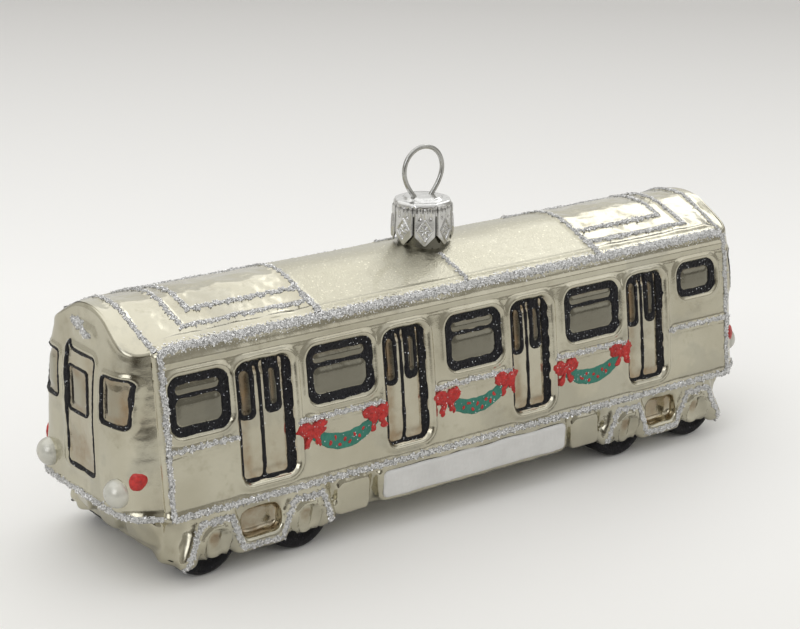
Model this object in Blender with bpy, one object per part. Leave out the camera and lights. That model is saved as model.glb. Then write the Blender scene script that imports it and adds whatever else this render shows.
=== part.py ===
"""Mould-blown glass tree ornament in the form of a metro car.

Lengths are in metres and +Z is up. The ornament stands on its wheel bottoms at z = 0 with
its length along X. Its front end looks to -X, so its left side looks to -Y. One thin glass
body carries painted coats, beads and a turning crown cap with a sprung wire loop.
"""

import math

import bmesh
import bpy
from mathutils import Matrix, Vector

# Glass body, from the sill line up
CORNER_LENGTH = 0.1200
SILL_WIDTH = 0.0348
TUMBLEHOME = 0.0033
SILL_HEIGHT = 0.0114
SIDE_HEIGHT = 0.0266
END_BOW_AT_SILL = 0.0050
END_BOW_AT_CANT = 0.0050
END_BOW_POWER = 4
ROOF_RISE = 0.0050
RIDGE_RADIUS = 0.0140
ROOF_END_RADIUS = 0.0030
ROOF_END_REACH = 0.0060
ROOF_END_LINE_INSET = 0.0030
ROOF_END_LINE_BULGE = 0.0020
CORNER_RADIUS = 0.0012
GLASS_WALL = 0.0018
CANT_WIDTH = SILL_WIDTH - 2 * TUMBLEHOME
ROOF_END_LENGTH = CORNER_LENGTH + 2 * ROOF_END_REACH

# Moulded relief
LIP_WIDTH = 0.0010
LIP_PROUD = 0.0004
DOOR_DEPTH = 0.0009
WINDOW_DEPTH = 0.0005
RIB_WIDTH = 0.0006
RIB_PROUD = 0.0003
RIB_END_GAP = 0.00175
PANEL_PROUD = 0.0003
BELT_HEIGHT_SHARE = 0.406
ROOF_SEAM_SHARE = 0.4917
RIB_LENGTH = CORNER_LENGTH - 2 * RIB_END_GAP
BELT_HEIGHT = BELT_HEIGHT_SHARE * SIDE_HEIGHT
ROOF_SEAM = ROOF_SEAM_SHARE * CORNER_LENGTH / 2
# Roof lines at each end: closing line as a share of half the corner length, sides as a share
# of half the cant rail's width
ROOF_LINE_SHARES = {
    "outer": {"closing": 0.873, "sides": 0.709},
    "inner": {"closing": 0.823, "sides": 0.468},
}

# Underframe between floor and sill
UNDERFRAME_DEPTH = 0.0076
UNDERFRAME_INSET = 0.0009
UNDERFRAME_TAPER = 0.0020
UNDERFRAME_END_INSET = 0.0005
UNDERFRAME_END_BOW = 0.0036
SIGN_LENGTH_SHARE = 0.3283
SIGN_HEIGHT = 0.0046
SIGN_DROP = 0.0034
SIGN_THICKNESS = 0.0004
SIGN_BOARD_MARGIN = 0.0008
BOX_LENGTH = 0.0066
BOX_DEPTH = 0.0058
BOX_ROUNDING = 0.0012
BUMPER_DISTANCE_SHARE = 0.576
BUMPER_WIDTH = 0.0076
BUMPER_DEPTH = 0.0050
BUMPER_PROUD = 0.0014
COUPLER_WIDTH = 0.0060
UNDERFRAME_TOP_WIDTH = SILL_WIDTH - 2 * UNDERFRAME_INSET
UNDERFRAME_BOTTOM_WIDTH = UNDERFRAME_TOP_WIDTH - 2 * UNDERFRAME_TAPER
UNDERFRAME_LENGTH = CORNER_LENGTH - 2 * UNDERFRAME_END_INSET
BUMPER_DISTANCE = BUMPER_DISTANCE_SHARE * UNDERFRAME_TOP_WIDTH
SIGN_LENGTH = SIGN_LENGTH_SHARE * CORNER_LENGTH

# Trucks
TRUCK_DISTANCE_SHARE = 0.71667
TRUCK_LENGTH_SHARE = 0.24
TRUCK_DEPTH = 0.0084
TRUCK_INSET = 0.0005
TRUCK_BEAM = 0.0069
TRUCK_BAND = 0.0023
TRUCK_BAND_PROUD = 0.0007
AXLE_DISTANCE_SHARE = 0.5903
AXLE_DROP = 0.0046
JOURNAL_WIDTH = 0.0040
JOURNAL_HEIGHT = 0.0050
JOURNAL_PROUD = 0.0006
JOURNAL_DOT_RADIUS = 0.0007
SPRING_POCKET_WIDTH = 0.0072
SPRING_POCKET_HEIGHT = 0.0044
SPRING_POCKET_DEPTH = 0.0016
SPRING_POCKET_TOP_SHARE = 0.2
WHEEL_RADIUS = 0.0062
WHEEL_INSET = 0.0034
WHEEL_THICKNESS = 0.0044
TRUCK_DISTANCE = TRUCK_DISTANCE_SHARE * CORNER_LENGTH
TRUCK_LENGTH = TRUCK_LENGTH_SHARE * CORNER_LENGTH
TRUCK_WIDTH = SILL_WIDTH - 2 * TRUCK_INSET
TRUCK_INNER_WIDTH = TRUCK_WIDTH - 2 * TRUCK_BEAM
AXLE_DISTANCE = AXLE_DISTANCE_SHARE * TRUCK_LENGTH
WHEEL_FACE_WIDTH = TRUCK_WIDTH - 2 * WHEEL_INSET

# Painted and glued trim
COAT_GAP = 0.00005
COAT_THICKNESS = 0.00035
BLACK_LINE = 0.0010
THIN_BLACK_LINE = 0.0008
GLITTER_LINE = 0.0012
WINDOW_RADIUS = 0.0018
TRANSOM_DROP = 0.0030
DOOR_HEIGHT_SHARE = 0.6992
DOOR_BOTTOM_SHARE = 0.1128
DOOR_RADIUS = 0.0014
DOOR_GLASS_HEIGHT_SHARE = 0.398
DOOR_GLASS_WIDTH = 0.0017
DOOR_TOP_BAND = 0.0016
PEARL_RADIUS = 0.0022
PEARL_SPREAD_SHARE = 0.6092
PEARL_HEIGHT = 0.0038
PEARL_STAND_OFF = 0.0002
RED_DOT_RADIUS = 0.0013
RED_DOT_SPREAD_SHARE = 0.7989
RED_DOT_HEIGHT = 0.0062
END_DOOR_WIDTH_SHARE = 0.298
END_DOOR_HEIGHT_SHARE = 0.7068
END_DOOR_BOTTOM_SHARE = 0.1617
END_DOOR_GLASS_WIDTH_SHARE = 0.717
END_DOOR_GLASS_HEIGHT_SHARE = 0.383
END_DOOR_GLASS_TOP_GAP = 0.0026
END_WINDOW_WIDTH_SHARE = 0.2021
END_WINDOW_HEIGHT_SHARE = 0.2782
END_WINDOW_SPREAD_SHARE = 0.675
END_WINDOW_BOTTOM_SHARE = 0.5376
END_RADIUS = 0.0008
GARLAND_HEIGHT_SHARE = 0.297
GARLAND_SPAN_SHARE = 0.694
GARLAND_SAG = 0.0019
GARLAND_THICKNESS = 0.0028
GARLAND_TAPER_SHARE = 0.6
BOW_SIZE_SHARE = 0.276
DOOR_HEIGHT = DOOR_HEIGHT_SHARE * SIDE_HEIGHT
DOOR_BOTTOM = DOOR_BOTTOM_SHARE * SIDE_HEIGHT
DOOR_GLASS_HEIGHT = DOOR_GLASS_HEIGHT_SHARE * DOOR_HEIGHT
PEARL_SPREAD = PEARL_SPREAD_SHARE * SILL_WIDTH
RED_DOT_SPREAD = RED_DOT_SPREAD_SHARE * SILL_WIDTH
END_DOOR_WIDTH = END_DOOR_WIDTH_SHARE * CANT_WIDTH
END_DOOR_HEIGHT = END_DOOR_HEIGHT_SHARE * SIDE_HEIGHT
END_DOOR_BOTTOM = END_DOOR_BOTTOM_SHARE * SIDE_HEIGHT
END_DOOR_GLASS_WIDTH = END_DOOR_GLASS_WIDTH_SHARE * END_DOOR_WIDTH
END_DOOR_GLASS_HEIGHT = END_DOOR_GLASS_HEIGHT_SHARE * END_DOOR_HEIGHT
END_WINDOW_WIDTH = END_WINDOW_WIDTH_SHARE * CANT_WIDTH
END_WINDOW_SPREAD = END_WINDOW_SPREAD_SHARE * CANT_WIDTH
END_WINDOW_HEIGHT = END_WINDOW_HEIGHT_SHARE * SIDE_HEIGHT
END_WINDOW_BOTTOM = END_WINDOW_BOTTOM_SHARE * SIDE_HEIGHT
GARLAND_HEIGHT = GARLAND_HEIGHT_SHARE * SIDE_HEIGHT

# Neck, crown cap and hanging wire
NECK_X = 0.0010
NECK_DIAMETER = 0.0084
NECK_BORE = 0.0064
CAP_DIAMETER = 0.0104
CAP_BORE = 0.0093
CAP_HEIGHT = 0.0072
CAP_TOP_WALL = 0.0005
CAP_SEAT_GAP = 0.0003
CAP_ROOF_GAP = 0.0004
FLUTE_DEPTH = 0.00025
PETAL_SLIT = 0.0004
PETAL_SLIT_HEIGHT = 0.0046
PETAL_POINT = 0.0018
PETAL_TURN = math.radians(12.5)
CAP_BOSS_DIAMETER = 0.0062
CAP_BOSS_HEIGHT = 0.0004
WIRE_DIAMETER = 0.0008
LOOP_WIDTH = 0.0082
LOOP_HEIGHT = 0.0092
LEG_DISTANCE = 0.0034
LEG_LENGTH = 0.0052
LEG_SPREAD = 0.0048
WIRE_HOLE_DIAMETER = 0.0014

# Counts and one overrun that carries every cut clear of its surface
PETALS = 8
CORNER_STEPS = 3
END_STEPS = 8
RIDGE_STEPS = 6
WHEEL_STEPS = 40
DISC_STEPS = 12
PEAR_STEPS = 4
WIRE_SIDES = 8
CUT_OVERRUN = 0.0020

LEFT, RIGHT = -1, 1
FRONT, REAR = -1, 1
SIDE_NAMES = {LEFT: "left", RIGHT: "right"}
END_NAMES = {FRONT: "front", REAR: "rear"}

# Side doors from front to rear: shares of half the body's corner length
DOOR_SHARES = (
    {"centre": -0.688, "width": 0.1600},
    {"centre": -0.234, "width": 0.1400},
    {"centre": 0.209, "width": 0.1367},
    {"centre": 0.653, "width": 0.1417},
)
# Side windows from front to rear: centre and width are shares of half the corner length,
# bottom and height are shares of the side's height
WINDOW_SHARES = (
    {"centre": -0.884, "width": 0.1733, "bottom": 0.489, "height": 0.338},
    {"centre": -0.448, "width": 0.2083, "bottom": 0.489, "height": 0.338},
    {"centre": 0.004, "width": 0.1917, "bottom": 0.489, "height": 0.338},
    {"centre": 0.443, "width": 0.2033, "bottom": 0.489, "height": 0.338},
    {"centre": 0.863, "width": 0.1533, "bottom": 0.611, "height": 0.223},
)
# A window lower than this share of the side's height has no transom bar
TRANSOM_SHARE = 0.3
# Truck frame outline: shares of half the truck's length, shares of its depth below the sill
TRUCK_SHARES = (
    (-0.86, 0.08),
    (-1.00, -0.84),
    (-0.94, -0.94),
    (-0.80, -0.94),
    (-0.74, -0.80),
    (-0.42, -0.80),
    (-0.32, -1.00),
)
# Raised W on the truck frame: the same two kinds of share, along its middle line
TRUCK_BAND_SHARES = (
    (-0.91, -0.84),
    (-0.76, -0.19),
    (-0.43, -0.19),
    (-0.25, -0.87),
)
# Bow outline, right half from the knot's top: shares of the bow's size
BOW_SHARES = (
    (0.00, 0.14),
    (0.32, 0.31),
    (0.52, 0.22),
    (0.50, -0.14),
    (0.16, -0.06),
    (0.44, -0.52),
    (0.22, -0.56),
    (0.00, -0.20),
)


def clear_scene():
    for scene_object in list(bpy.data.objects):
        bpy.data.objects.remove(scene_object, do_unlink=True)


def new_collection(name):
    collection = bpy.data.collections.new(name)
    bpy.context.scene.collection.children.link(collection)
    return collection


clear_scene()
PARTS = new_collection("metro_car_ornament")
CUTTERS = new_collection("cutters")


def material(name, colour, metallic, roughness):
    finish = bpy.data.materials.new(name)
    finish.use_nodes = True
    shader = finish.node_tree.nodes["Principled BSDF"]
    shader.inputs["Base Color"].default_value = (*colour, 1.0)
    shader.inputs["Metallic"].default_value = metallic
    shader.inputs["Roughness"].default_value = roughness
    return finish


SILVERED_GLASS = material("silvered_glass", (0.74, 0.70, 0.60), 1.0, 0.16)
SILVER_GLITTER = material("silver_glitter", (0.80, 0.80, 0.80), 1.0, 0.45)
BLACK_GLITTER = material("black_glitter", (0.02, 0.02, 0.025), 0.0, 0.35)
GREEN_ENAMEL = material("green_enamel", (0.02, 0.20, 0.13), 0.0, 0.40)
WHITE_ENAMEL = material("white_enamel", (0.82, 0.82, 0.84), 0.0, 0.35)
RED_ENAMEL = material("red_enamel", (0.65, 0.02, 0.02), 0.0, 0.30)
PEARL = material("pearl", (0.88, 0.84, 0.76), 0.0, 0.22)
SILVER_CAP = material("silver_cap", (0.82, 0.82, 0.82), 1.0, 0.28)
STEEL_WIRE = material("steel_wire", (0.62, 0.62, 0.62), 1.0, 0.25)


def add_object(name, mesh, place=None, finish=None):
    """Link a mesh as a part when it has a finish, or else as a cutter."""
    made = bpy.data.objects.new(name, mesh)
    if place is not None:
        made.matrix_world = place
    if finish is None:
        CUTTERS.objects.link(made)
        made.hide_render = True
        made.display_type = "WIRE"
    else:
        PARTS.objects.link(made)
        mesh.materials.clear()
        mesh.materials.append(finish)
    return made


def mesh_of(name, build):
    """Make a mesh by running a function on an empty bmesh."""
    mesh = bpy.data.meshes.new(name)
    work = bmesh.new()
    build(work)
    bmesh.ops.recalc_face_normals(work, faces=work.faces)
    work.to_mesh(mesh)
    work.free()
    return mesh


def boolean(target, operand, operation):
    modifier = target.modifiers.new(operand.name, "BOOLEAN")
    modifier.operation = operation
    modifier.solver = "EXACT"
    modifier.object = operand


def box(name, low, high, finish=None):
    """A box between two corners."""
    size = Vector(high) - Vector(low)
    centre = (Vector(high) + Vector(low)) / 2
    shape = Matrix.Translation(centre) @ Matrix.Diagonal((*size, 1))
    mesh = mesh_of(name, lambda work: bmesh.ops.create_cube(work, size=1, matrix=shape))
    return add_object(name, mesh, finish=finish)


def cylinder(name, radius, bottom, top, centre, steps, finish=None):
    """An upright cylinder round a point of the plan, its mesh drawn about its own axis."""
    middle = Matrix.Translation((0, 0, (bottom + top) / 2))
    mesh = mesh_of(name, lambda work: bmesh.ops.create_cone(
        work, cap_ends=True, segments=steps, radius1=radius, radius2=radius,
        depth=top - bottom, matrix=middle))
    return add_object(name, mesh, Matrix.Translation((*centre, 0)), finish)


def extrude_outlines(name, outlines, low, high, place, finish=None):
    """Fill closed outlines and extrude them between two heights of their own frame."""
    curve = bpy.data.curves.new(name, "CURVE")
    curve.dimensions = "2D"
    curve.fill_mode = "BOTH"
    curve.extrude = (high - low) / 2
    for outline in outlines:
        spline = curve.splines.new("POLY")
        spline.points.add(len(outline) - 1)
        for point, (along, up) in zip(spline.points, outline):
            point.co = (along, up, 0, 1)
        spline.use_cyclic_u = True
    flat = bpy.data.objects.new(name, curve)
    CUTTERS.objects.link(flat)
    flat.matrix_world = place @ Matrix.Translation((0, 0, (low + high) / 2))
    return curve_to_mesh(flat, finish)


def curve_to_mesh(curve_object, finish):
    """Replace a curve object by a welded mesh object at the same place."""
    bpy.context.view_layer.update()
    evaluated = curve_object.evaluated_get(bpy.context.evaluated_depsgraph_get())
    mesh = bpy.data.meshes.new_from_object(evaluated)
    work = bmesh.new()
    work.from_mesh(mesh)
    bmesh.ops.remove_doubles(work, verts=work.verts, dist=COAT_GAP / 10)
    bmesh.ops.recalc_face_normals(work, faces=work.faces)
    work.to_mesh(mesh)
    work.free()
    name = curve_object.name
    place = curve_object.matrix_world.copy()
    bpy.data.objects.remove(curve_object, do_unlink=True)
    return add_object(name, mesh, place, finish)


def rounded_rectangle(centre, bottom, width, height, radius):
    """Outline of a rectangle that stands on a height, with arcs for corners."""
    points = []
    for quarter, (side, level) in enumerate(((1, 1), (0, 1), (0, 0), (1, 0))):
        middle_x = centre - width / 2 + radius + side * (width - 2 * radius)
        middle_y = bottom + radius + level * (height - 2 * radius)
        for step in range(CORNER_STEPS + 1):
            angle = (quarter + step / CORNER_STEPS) * math.pi / 2
            points.append((middle_x + radius * math.cos(angle), middle_y + radius * math.sin(angle)))
    return points


def disc_outline(centre, height, radius):
    """Outline of a round disc about a point of a frame."""
    turns = [2 * math.pi * step / DISC_STEPS for step in range(DISC_STEPS)]
    return [(centre + radius * math.cos(turn), height + radius * math.sin(turn)) for turn in turns]


def inset_rectangle(centre, bottom, width, height, radius, inset):
    """The same rectangle shrunk on every side."""
    inner_radius = max(radius - inset, radius / 4)
    return rounded_rectangle(centre, bottom + inset, width - 2 * inset, height - 2 * inset, inner_radius)


def band(points, width):
    """Outline of a mitred band of even width along a line of points."""
    rows = {LEFT: [], RIGHT: []}
    line = [Vector(point) for point in points]
    for index, point in enumerate(line):
        before = point - line[index - 1] if index else line[1] - point
        after = line[index + 1] - point if index + 1 < len(line) else before
        first, second = before.normalized(), after.normalized()
        normal = Vector((-first.y - second.y, first.x + second.x)).normalized()
        reach = width / 2 / normal.dot(Vector((-first.y, first.x)))
        for side in (LEFT, RIGHT):
            rows[side].append(tuple(point + side * reach * normal))
    return rows[LEFT] + rows[RIGHT][::-1]


def mirrored(points):
    """A left-hand run of points followed by its mirror image."""
    return list(points) + [(-along, up) for along, up in reversed(points)]


def side_frame(side):
    """Frame on a leaning side wall: X along the car, Y up the wall, Z out of it."""
    lean = math.atan2((SILL_WIDTH - CANT_WIDTH) / 2, SIDE_HEIGHT)
    turn = Matrix.Rotation(math.pi * (side == RIGHT), 4, "Z")
    stand = Matrix.Rotation(math.pi / 2 - lean, 4, "X")
    return Matrix.Translation((0, side * SILL_WIDTH / 2, SILL_HEIGHT)) @ turn @ stand


def skirt_frame(side):
    """Upright frame below the sill, its Z out of the car's middle plane."""
    turn = Matrix.Rotation(math.pi * (side == RIGHT), 4, "Z")
    return Matrix.Translation((0, 0, SILL_HEIGHT)) @ turn @ Matrix.Rotation(math.pi / 2, 4, "X")


def end_frame(end):
    """Upright frame at an end: X across the car, Y up, Z out."""
    turn = Matrix.Rotation(end * math.pi / 2, 4, "Z")
    place = Matrix.Translation((end * CORNER_LENGTH / 2, 0, SILL_HEIGHT))
    return place @ turn @ Matrix.Rotation(math.pi / 2, 4, "X")


def end_bulge(share, bow):
    """How far an end stands out at a share of its half width: flat across, round at the corners."""
    return bow * (1 - abs(share) ** END_BOW_POWER)


def plan_ring(half_length, half_width, bow):
    """Plan outline with bowed ends and rounded corners, as (x, y) points."""
    reach = half_width - CORNER_RADIUS
    rear_end = []
    for step in range(END_STEPS + 1):
        share = math.sin((step / END_STEPS - 1 / 2) * math.pi)
        rear_end.append((half_length + end_bulge(share, bow), share * reach))
    corner = [(half_length - CORNER_RADIUS, half_width)]
    half = [(half_length - CORNER_RADIUS, -half_width)] + rear_end + corner
    return half + [(-x, -y) for x, y in half]


def loft(name, rings):
    """Closed solid through plan rings, each given with its height."""
    def build(work):
        rows = [[work.verts.new((x, y, height)) for x, y in ring] for height, ring in rings]
        for lower, upper in zip(rows, rows[1:]):
            for index in range(len(lower)):
                following = (index + 1) % len(lower)
                work.faces.new((lower[index], lower[following], upper[following], upper[index]))
        work.faces.new(rows[0][::-1])
        work.faces.new(rows[-1])
        twisted = [face for face in work.faces if len(face.verts) == 4]
        bmesh.ops.triangulate(work, faces=twisted)
    return add_object(name, mesh_of(name, build))


def mix(first, second, share):
    return first + (second - first) * share


def body_ring(height, growth):
    """Plan of the body at a height, grown outwards all round."""
    share = (height - SILL_HEIGHT) / SIDE_HEIGHT
    half_width = mix(SILL_WIDTH, CANT_WIDTH, share) / 2 + growth
    bow = mix(END_BOW_AT_SILL, END_BOW_AT_CANT, share)
    return height, plan_ring(CORNER_LENGTH / 2 + growth, half_width, bow)


def roof_slope():
    return math.atan2(ROOF_RISE, CANT_WIDTH / 2)


def ridge_height():
    """Top of the rounded ridge above the floor."""
    rounding = RIDGE_RADIUS * (1 / math.cos(roof_slope()) - 1)
    return SILL_HEIGHT + SIDE_HEIGHT + ROOF_RISE - rounding


def roof_outline(growth):
    """Cross-section of the space under the roof, with a rounded ridge."""
    slope = roof_slope()
    reach = SILL_WIDTH / 2 + CUT_OVERRUN
    cant = SILL_HEIGHT + SIDE_HEIGHT
    eave = cant - (reach - CANT_WIDTH / 2) * math.tan(slope) + growth / math.cos(slope)
    centre = ridge_height() - RIDGE_RADIUS
    points = [(-reach, 0), (reach, 0), (reach, eave)]
    for step in range(RIDGE_STEPS + 1):
        angle = slope - 2 * slope * step / RIDGE_STEPS
        radius = RIDGE_RADIUS + growth
        points.append((radius * math.sin(angle), centre + radius * math.cos(angle)))
    return points + [(-reach, eave)]


def roof_end_outline(growth):
    """Long section of the body, which rounds the ends of the roof down."""
    reach = CORNER_LENGTH / 2 + END_BOW_AT_SILL + CUT_OVERRUN
    half_length = ROOF_END_LENGTH / 2 + growth
    centre = ridge_height() + growth - ROOF_END_RADIUS
    points = [(-reach, 0), (-reach, centre), (-half_length, centre)]
    for step in range(1, 2 * CORNER_STEPS + 1):
        angle = step / (2 * CORNER_STEPS) * math.pi / 2
        points.append((ROOF_END_RADIUS * (1 - math.cos(angle)) - half_length,
                       centre + ROOF_END_RADIUS * math.sin(angle)))
    return mirrored(points)


def hull(name, growth, bottom=SILL_HEIGHT):
    """The whole body shape, grown or shrunk, as a helper for unions and cuts."""
    top = SILL_HEIGHT + SIDE_HEIGHT + ROOF_RISE + CUT_OVERRUN
    shape = loft(name, [body_ring(bottom, growth), body_ring(top, growth)])
    across = Matrix.Rotation(math.pi / 2, 4, "Z") @ Matrix.Rotation(math.pi / 2, 4, "X")
    roof = extrude_outlines(name + "_roof", [roof_outline(growth)], -CORNER_LENGTH, CORNER_LENGTH, across)
    along = Matrix.Rotation(math.pi / 2, 4, "X")
    ends = extrude_outlines(name + "_roof_ends", [roof_end_outline(growth)], -SILL_WIDTH, SILL_WIDTH, along)
    boolean(shape, roof, "INTERSECT")
    boolean(shape, ends, "INTERSECT")
    return shape


def underframe(name, growth, top):
    """The narrower body below the sill, tapered towards its bottom."""
    bottom = SILL_HEIGHT - UNDERFRAME_DEPTH - growth
    bow = UNDERFRAME_END_BOW
    half_length = UNDERFRAME_LENGTH / 2 + growth
    taper = (UNDERFRAME_TOP_WIDTH - UNDERFRAME_BOTTOM_WIDTH) / 2
    upper = plan_ring(half_length, UNDERFRAME_TOP_WIDTH / 2 + growth, bow)
    lower = plan_ring(half_length - taper, UNDERFRAME_BOTTOM_WIDTH / 2 + growth, bow)
    return loft(name, [(bottom, lower), (SILL_HEIGHT, upper), (top, upper)])


def door_places():
    """Each side door as centre and width."""
    half_length = CORNER_LENGTH / 2
    return [(door["centre"] * half_length, door["width"] * half_length) for door in DOOR_SHARES]


def window_places():
    """Each side window as centre, bottom, width and height."""
    half_length = CORNER_LENGTH / 2
    return [(window["centre"] * half_length, window["bottom"] * SIDE_HEIGHT,
             window["width"] * half_length, window["height"] * SIDE_HEIGHT) for window in WINDOW_SHARES]


def along_side(side, place):
    """Turn a place along the car into the X of a side's own frame."""
    return -side * place


def truck_outline():
    half_length = TRUCK_LENGTH / 2
    return mirrored([(along * half_length, down * TRUCK_DEPTH) for along, down in TRUCK_SHARES])


def truck_band_line():
    half_length = TRUCK_LENGTH / 2
    return mirrored([(along * half_length, down * TRUCK_DEPTH) for along, down in TRUCK_BAND_SHARES])


def shifted(points, along, up=0):
    return [(x + along, y + up) for x, y in points]


def trucks(body, side):
    """Side frames, raised W bands, journal boxes and spring pockets of one side."""
    face = TRUCK_WIDTH / 2
    name = SIDE_NAMES[side]
    outlines = [shifted(truck_outline(), end * TRUCK_DISTANCE / 2) for end in (FRONT, REAR)]
    frames = extrude_outlines("truck_frames_" + name, outlines, TRUCK_INNER_WIDTH / 2, face,
                              skirt_frame(side))
    boolean(body, frames, "UNION")
    raised = [shifted(band(truck_band_line(), TRUCK_BAND), end * TRUCK_DISTANCE / 2) for end in (FRONT, REAR)]
    bands = extrude_outlines("truck_bands_" + name, raised, face - CUT_OVERRUN, face + TRUCK_BAND_PROUD,
                             skirt_frame(side))
    boolean(body, bands, "UNION")
    bottom = -TRUCK_DEPTH * SPRING_POCKET_TOP_SHARE - SPRING_POCKET_HEIGHT
    pockets = [rounded_rectangle(end * TRUCK_DISTANCE / 2, bottom, SPRING_POCKET_WIDTH,
                                 SPRING_POCKET_HEIGHT, BOX_ROUNDING) for end in (FRONT, REAR)]
    springs = extrude_outlines("spring_pockets_" + name, pockets, face - SPRING_POCKET_DEPTH,
                               face + CUT_OVERRUN, skirt_frame(side))
    boolean(body, springs, "DIFFERENCE")
    journal_boxes(body, side, face)


def pear_outline(centre, height):
    """A pear shape, round below and narrower above, about a point of an upright frame."""
    points = []
    wide = JOURNAL_WIDTH / 2
    narrow = JOURNAL_WIDTH / 4
    lift = JOURNAL_HEIGHT - wide - narrow
    for step in range(PEAR_STEPS + 1):
        angle = step / PEAR_STEPS * math.pi
        points.append((centre + narrow * math.cos(angle), height + lift + narrow * math.sin(angle)))
    for step in range(2 * PEAR_STEPS + 1):
        angle = mix(5 / 6, 13 / 6, step / (2 * PEAR_STEPS)) * math.pi
        points.append((centre + wide * math.cos(angle), height + wide * math.sin(angle)))
    return points


def journal_boxes(body, side, face):
    """Pear-shaped bulges over the axle ends of one side, each with a round dimple."""
    places = [end * TRUCK_DISTANCE / 2 + axle * AXLE_DISTANCE / 2
              for end in (FRONT, REAR) for axle in (FRONT, REAR)]
    name = SIDE_NAMES[side]
    pears = [pear_outline(place, -AXLE_DROP) for place in places]
    dimples = [disc_outline(place, -AXLE_DROP, JOURNAL_DOT_RADIUS) for place in places]
    raised = extrude_outlines("journal_boxes_" + name, pears, face - GLASS_WALL / 2, face + JOURNAL_PROUD,
                              skirt_frame(side))
    boolean(body, raised, "UNION")
    dots = extrude_outlines("journal_dimples_" + name, dimples, face, face + CUT_OVERRUN, skirt_frame(side))
    boolean(body, dots, "DIFFERENCE")


def skirt_details(body, side):
    """Sign board and equipment boxes between the trucks of one side."""
    name = SIDE_NAMES[side]
    face = SILL_WIDTH / 2
    margin = SIGN_BOARD_MARGIN
    board = rounded_rectangle(0, -SIGN_DROP - SIGN_HEIGHT / 2 - margin, SIGN_LENGTH + 2 * margin,
                              SIGN_HEIGHT + 2 * margin, margin * 2)
    boards = extrude_outlines("sign_board_" + name, [board], face - GLASS_WALL, face, skirt_frame(side))
    boolean(body, boards, "UNION")
    cases = []
    for end in (FRONT, REAR):
        centre = end * (SIGN_LENGTH / 2 + margin + BOX_ROUNDING + BOX_LENGTH / 2)
        cases.append(rounded_rectangle(centre, -BOX_DEPTH - BOX_ROUNDING, BOX_LENGTH, BOX_DEPTH,
                                       BOX_ROUNDING))
    boxes = extrude_outlines("equipment_boxes_" + name, cases, face - 2 * GLASS_WALL, face - BOX_ROUNDING / 2,
                             skirt_frame(side))
    boolean(body, boxes, "UNION")


def end_details(body, end, swollen):
    """Soft bumper bulges and a coupler bulge that follow the bowed end of the underframe."""
    bottom = -BUMPER_DEPTH - BOX_ROUNDING
    blocks = [rounded_rectangle(side * BUMPER_DISTANCE / 2, bottom, BUMPER_WIDTH, BUMPER_DEPTH, BOX_ROUNDING)
              for side in (LEFT, RIGHT)]
    blocks.append(rounded_rectangle(0, -UNDERFRAME_DEPTH + BOX_ROUNDING, COUPLER_WIDTH,
                                    BUMPER_DEPTH, BOX_ROUNDING))
    reach = UNDERFRAME_END_BOW + BUMPER_PROUD + CUT_OVERRUN
    lumps = extrude_outlines("bumpers_" + END_NAMES[end], blocks, -CUT_OVERRUN, reach, end_frame(end))
    boolean(lumps, swollen, "INTERSECT")
    boolean(body, lumps, "UNION")


def roof_panels(body):
    """Stepped panels inside the glitter lines at both ends of the roof."""
    raised = hull("raised_roof", PANEL_PROUD)
    plates = []
    for end in (FRONT, REAR):
        start = ROOF_SEAM + GLITTER_LINE
        closing, sides = roof_line_place("inner")
        plates.append(plan_rectangle(end, start, closing - GLITTER_LINE, sides - GLITTER_LINE))
    top = ridge_height() + CUT_OVERRUN
    panels = extrude_outlines("roof_panels", plates, SILL_HEIGHT + SIDE_HEIGHT, top, Matrix.Identity(4))
    boolean(panels, raised, "INTERSECT")
    boolean(body, panels, "UNION")


def roof_line_place(key):
    """Distance of a roof line's closing stretch and of its sides from the middle."""
    shares = ROOF_LINE_SHARES[key]
    return shares["closing"] * CORNER_LENGTH / 2, shares["sides"] * CANT_WIDTH / 2


def plan_rectangle(end, near, far, half_width):
    """Plan outline of a panel on one end's half of the roof."""
    low, high = sorted((end * near, end * far))
    return [(low, -half_width), (high, -half_width), (high, half_width), (low, half_width)]


def ribs(body):
    """Fine ribs along both sides under the cant rail and under the belt line."""
    raised = hull("raised_ribs", RIB_PROUD)
    heights = (SIDE_HEIGHT - 2 * RIB_WIDTH - GLITTER_LINE, SIDE_HEIGHT - 4 * RIB_WIDTH - GLITTER_LINE,
               BELT_HEIGHT - 2 * RIB_WIDTH)
    for number, height in enumerate(heights, 1):
        level = SILL_HEIGHT + height
        rib = box("rib_%d" % number, (-RIB_LENGTH / 2, -SILL_WIDTH, level - RIB_WIDTH / 2),
                  (RIB_LENGTH / 2, SILL_WIDTH, level + RIB_WIDTH / 2))
        boolean(rib, raised, "INTERSECT")
        boolean(body, rib, "UNION")


def side_relief(body, side):
    """Raised lips round the doors, then the recesses of doors and windows."""
    name = SIDE_NAMES[side]
    lips = []
    door_recesses = []
    window_recesses = []
    margin = COAT_THICKNESS
    for centre, width in door_places():
        middle = along_side(side, centre)
        for outlines, inset in ((lips, -LIP_WIDTH - margin), (door_recesses, -margin)):
            outlines.append(inset_rectangle(middle, DOOR_BOTTOM, width, DOOR_HEIGHT, DOOR_RADIUS, inset))
    for centre, bottom, width, height in window_places():
        middle = along_side(side, centre)
        window_recesses.append(inset_rectangle(middle, bottom, width, height, WINDOW_RADIUS, -margin))
    frame = side_frame(side)
    raised = extrude_outlines("door_lips_" + name, lips, -GLASS_WALL / 2, LIP_PROUD, frame)
    boolean(body, raised, "UNION")
    doors = extrude_outlines("door_recesses_" + name, door_recesses, -DOOR_DEPTH, CUT_OVERRUN, frame)
    boolean(body, doors, "DIFFERENCE")
    windows = extrude_outlines("window_recesses_" + name, window_recesses, -WINDOW_DEPTH, CUT_OVERRUN, frame)
    boolean(body, windows, "DIFFERENCE")


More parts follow.
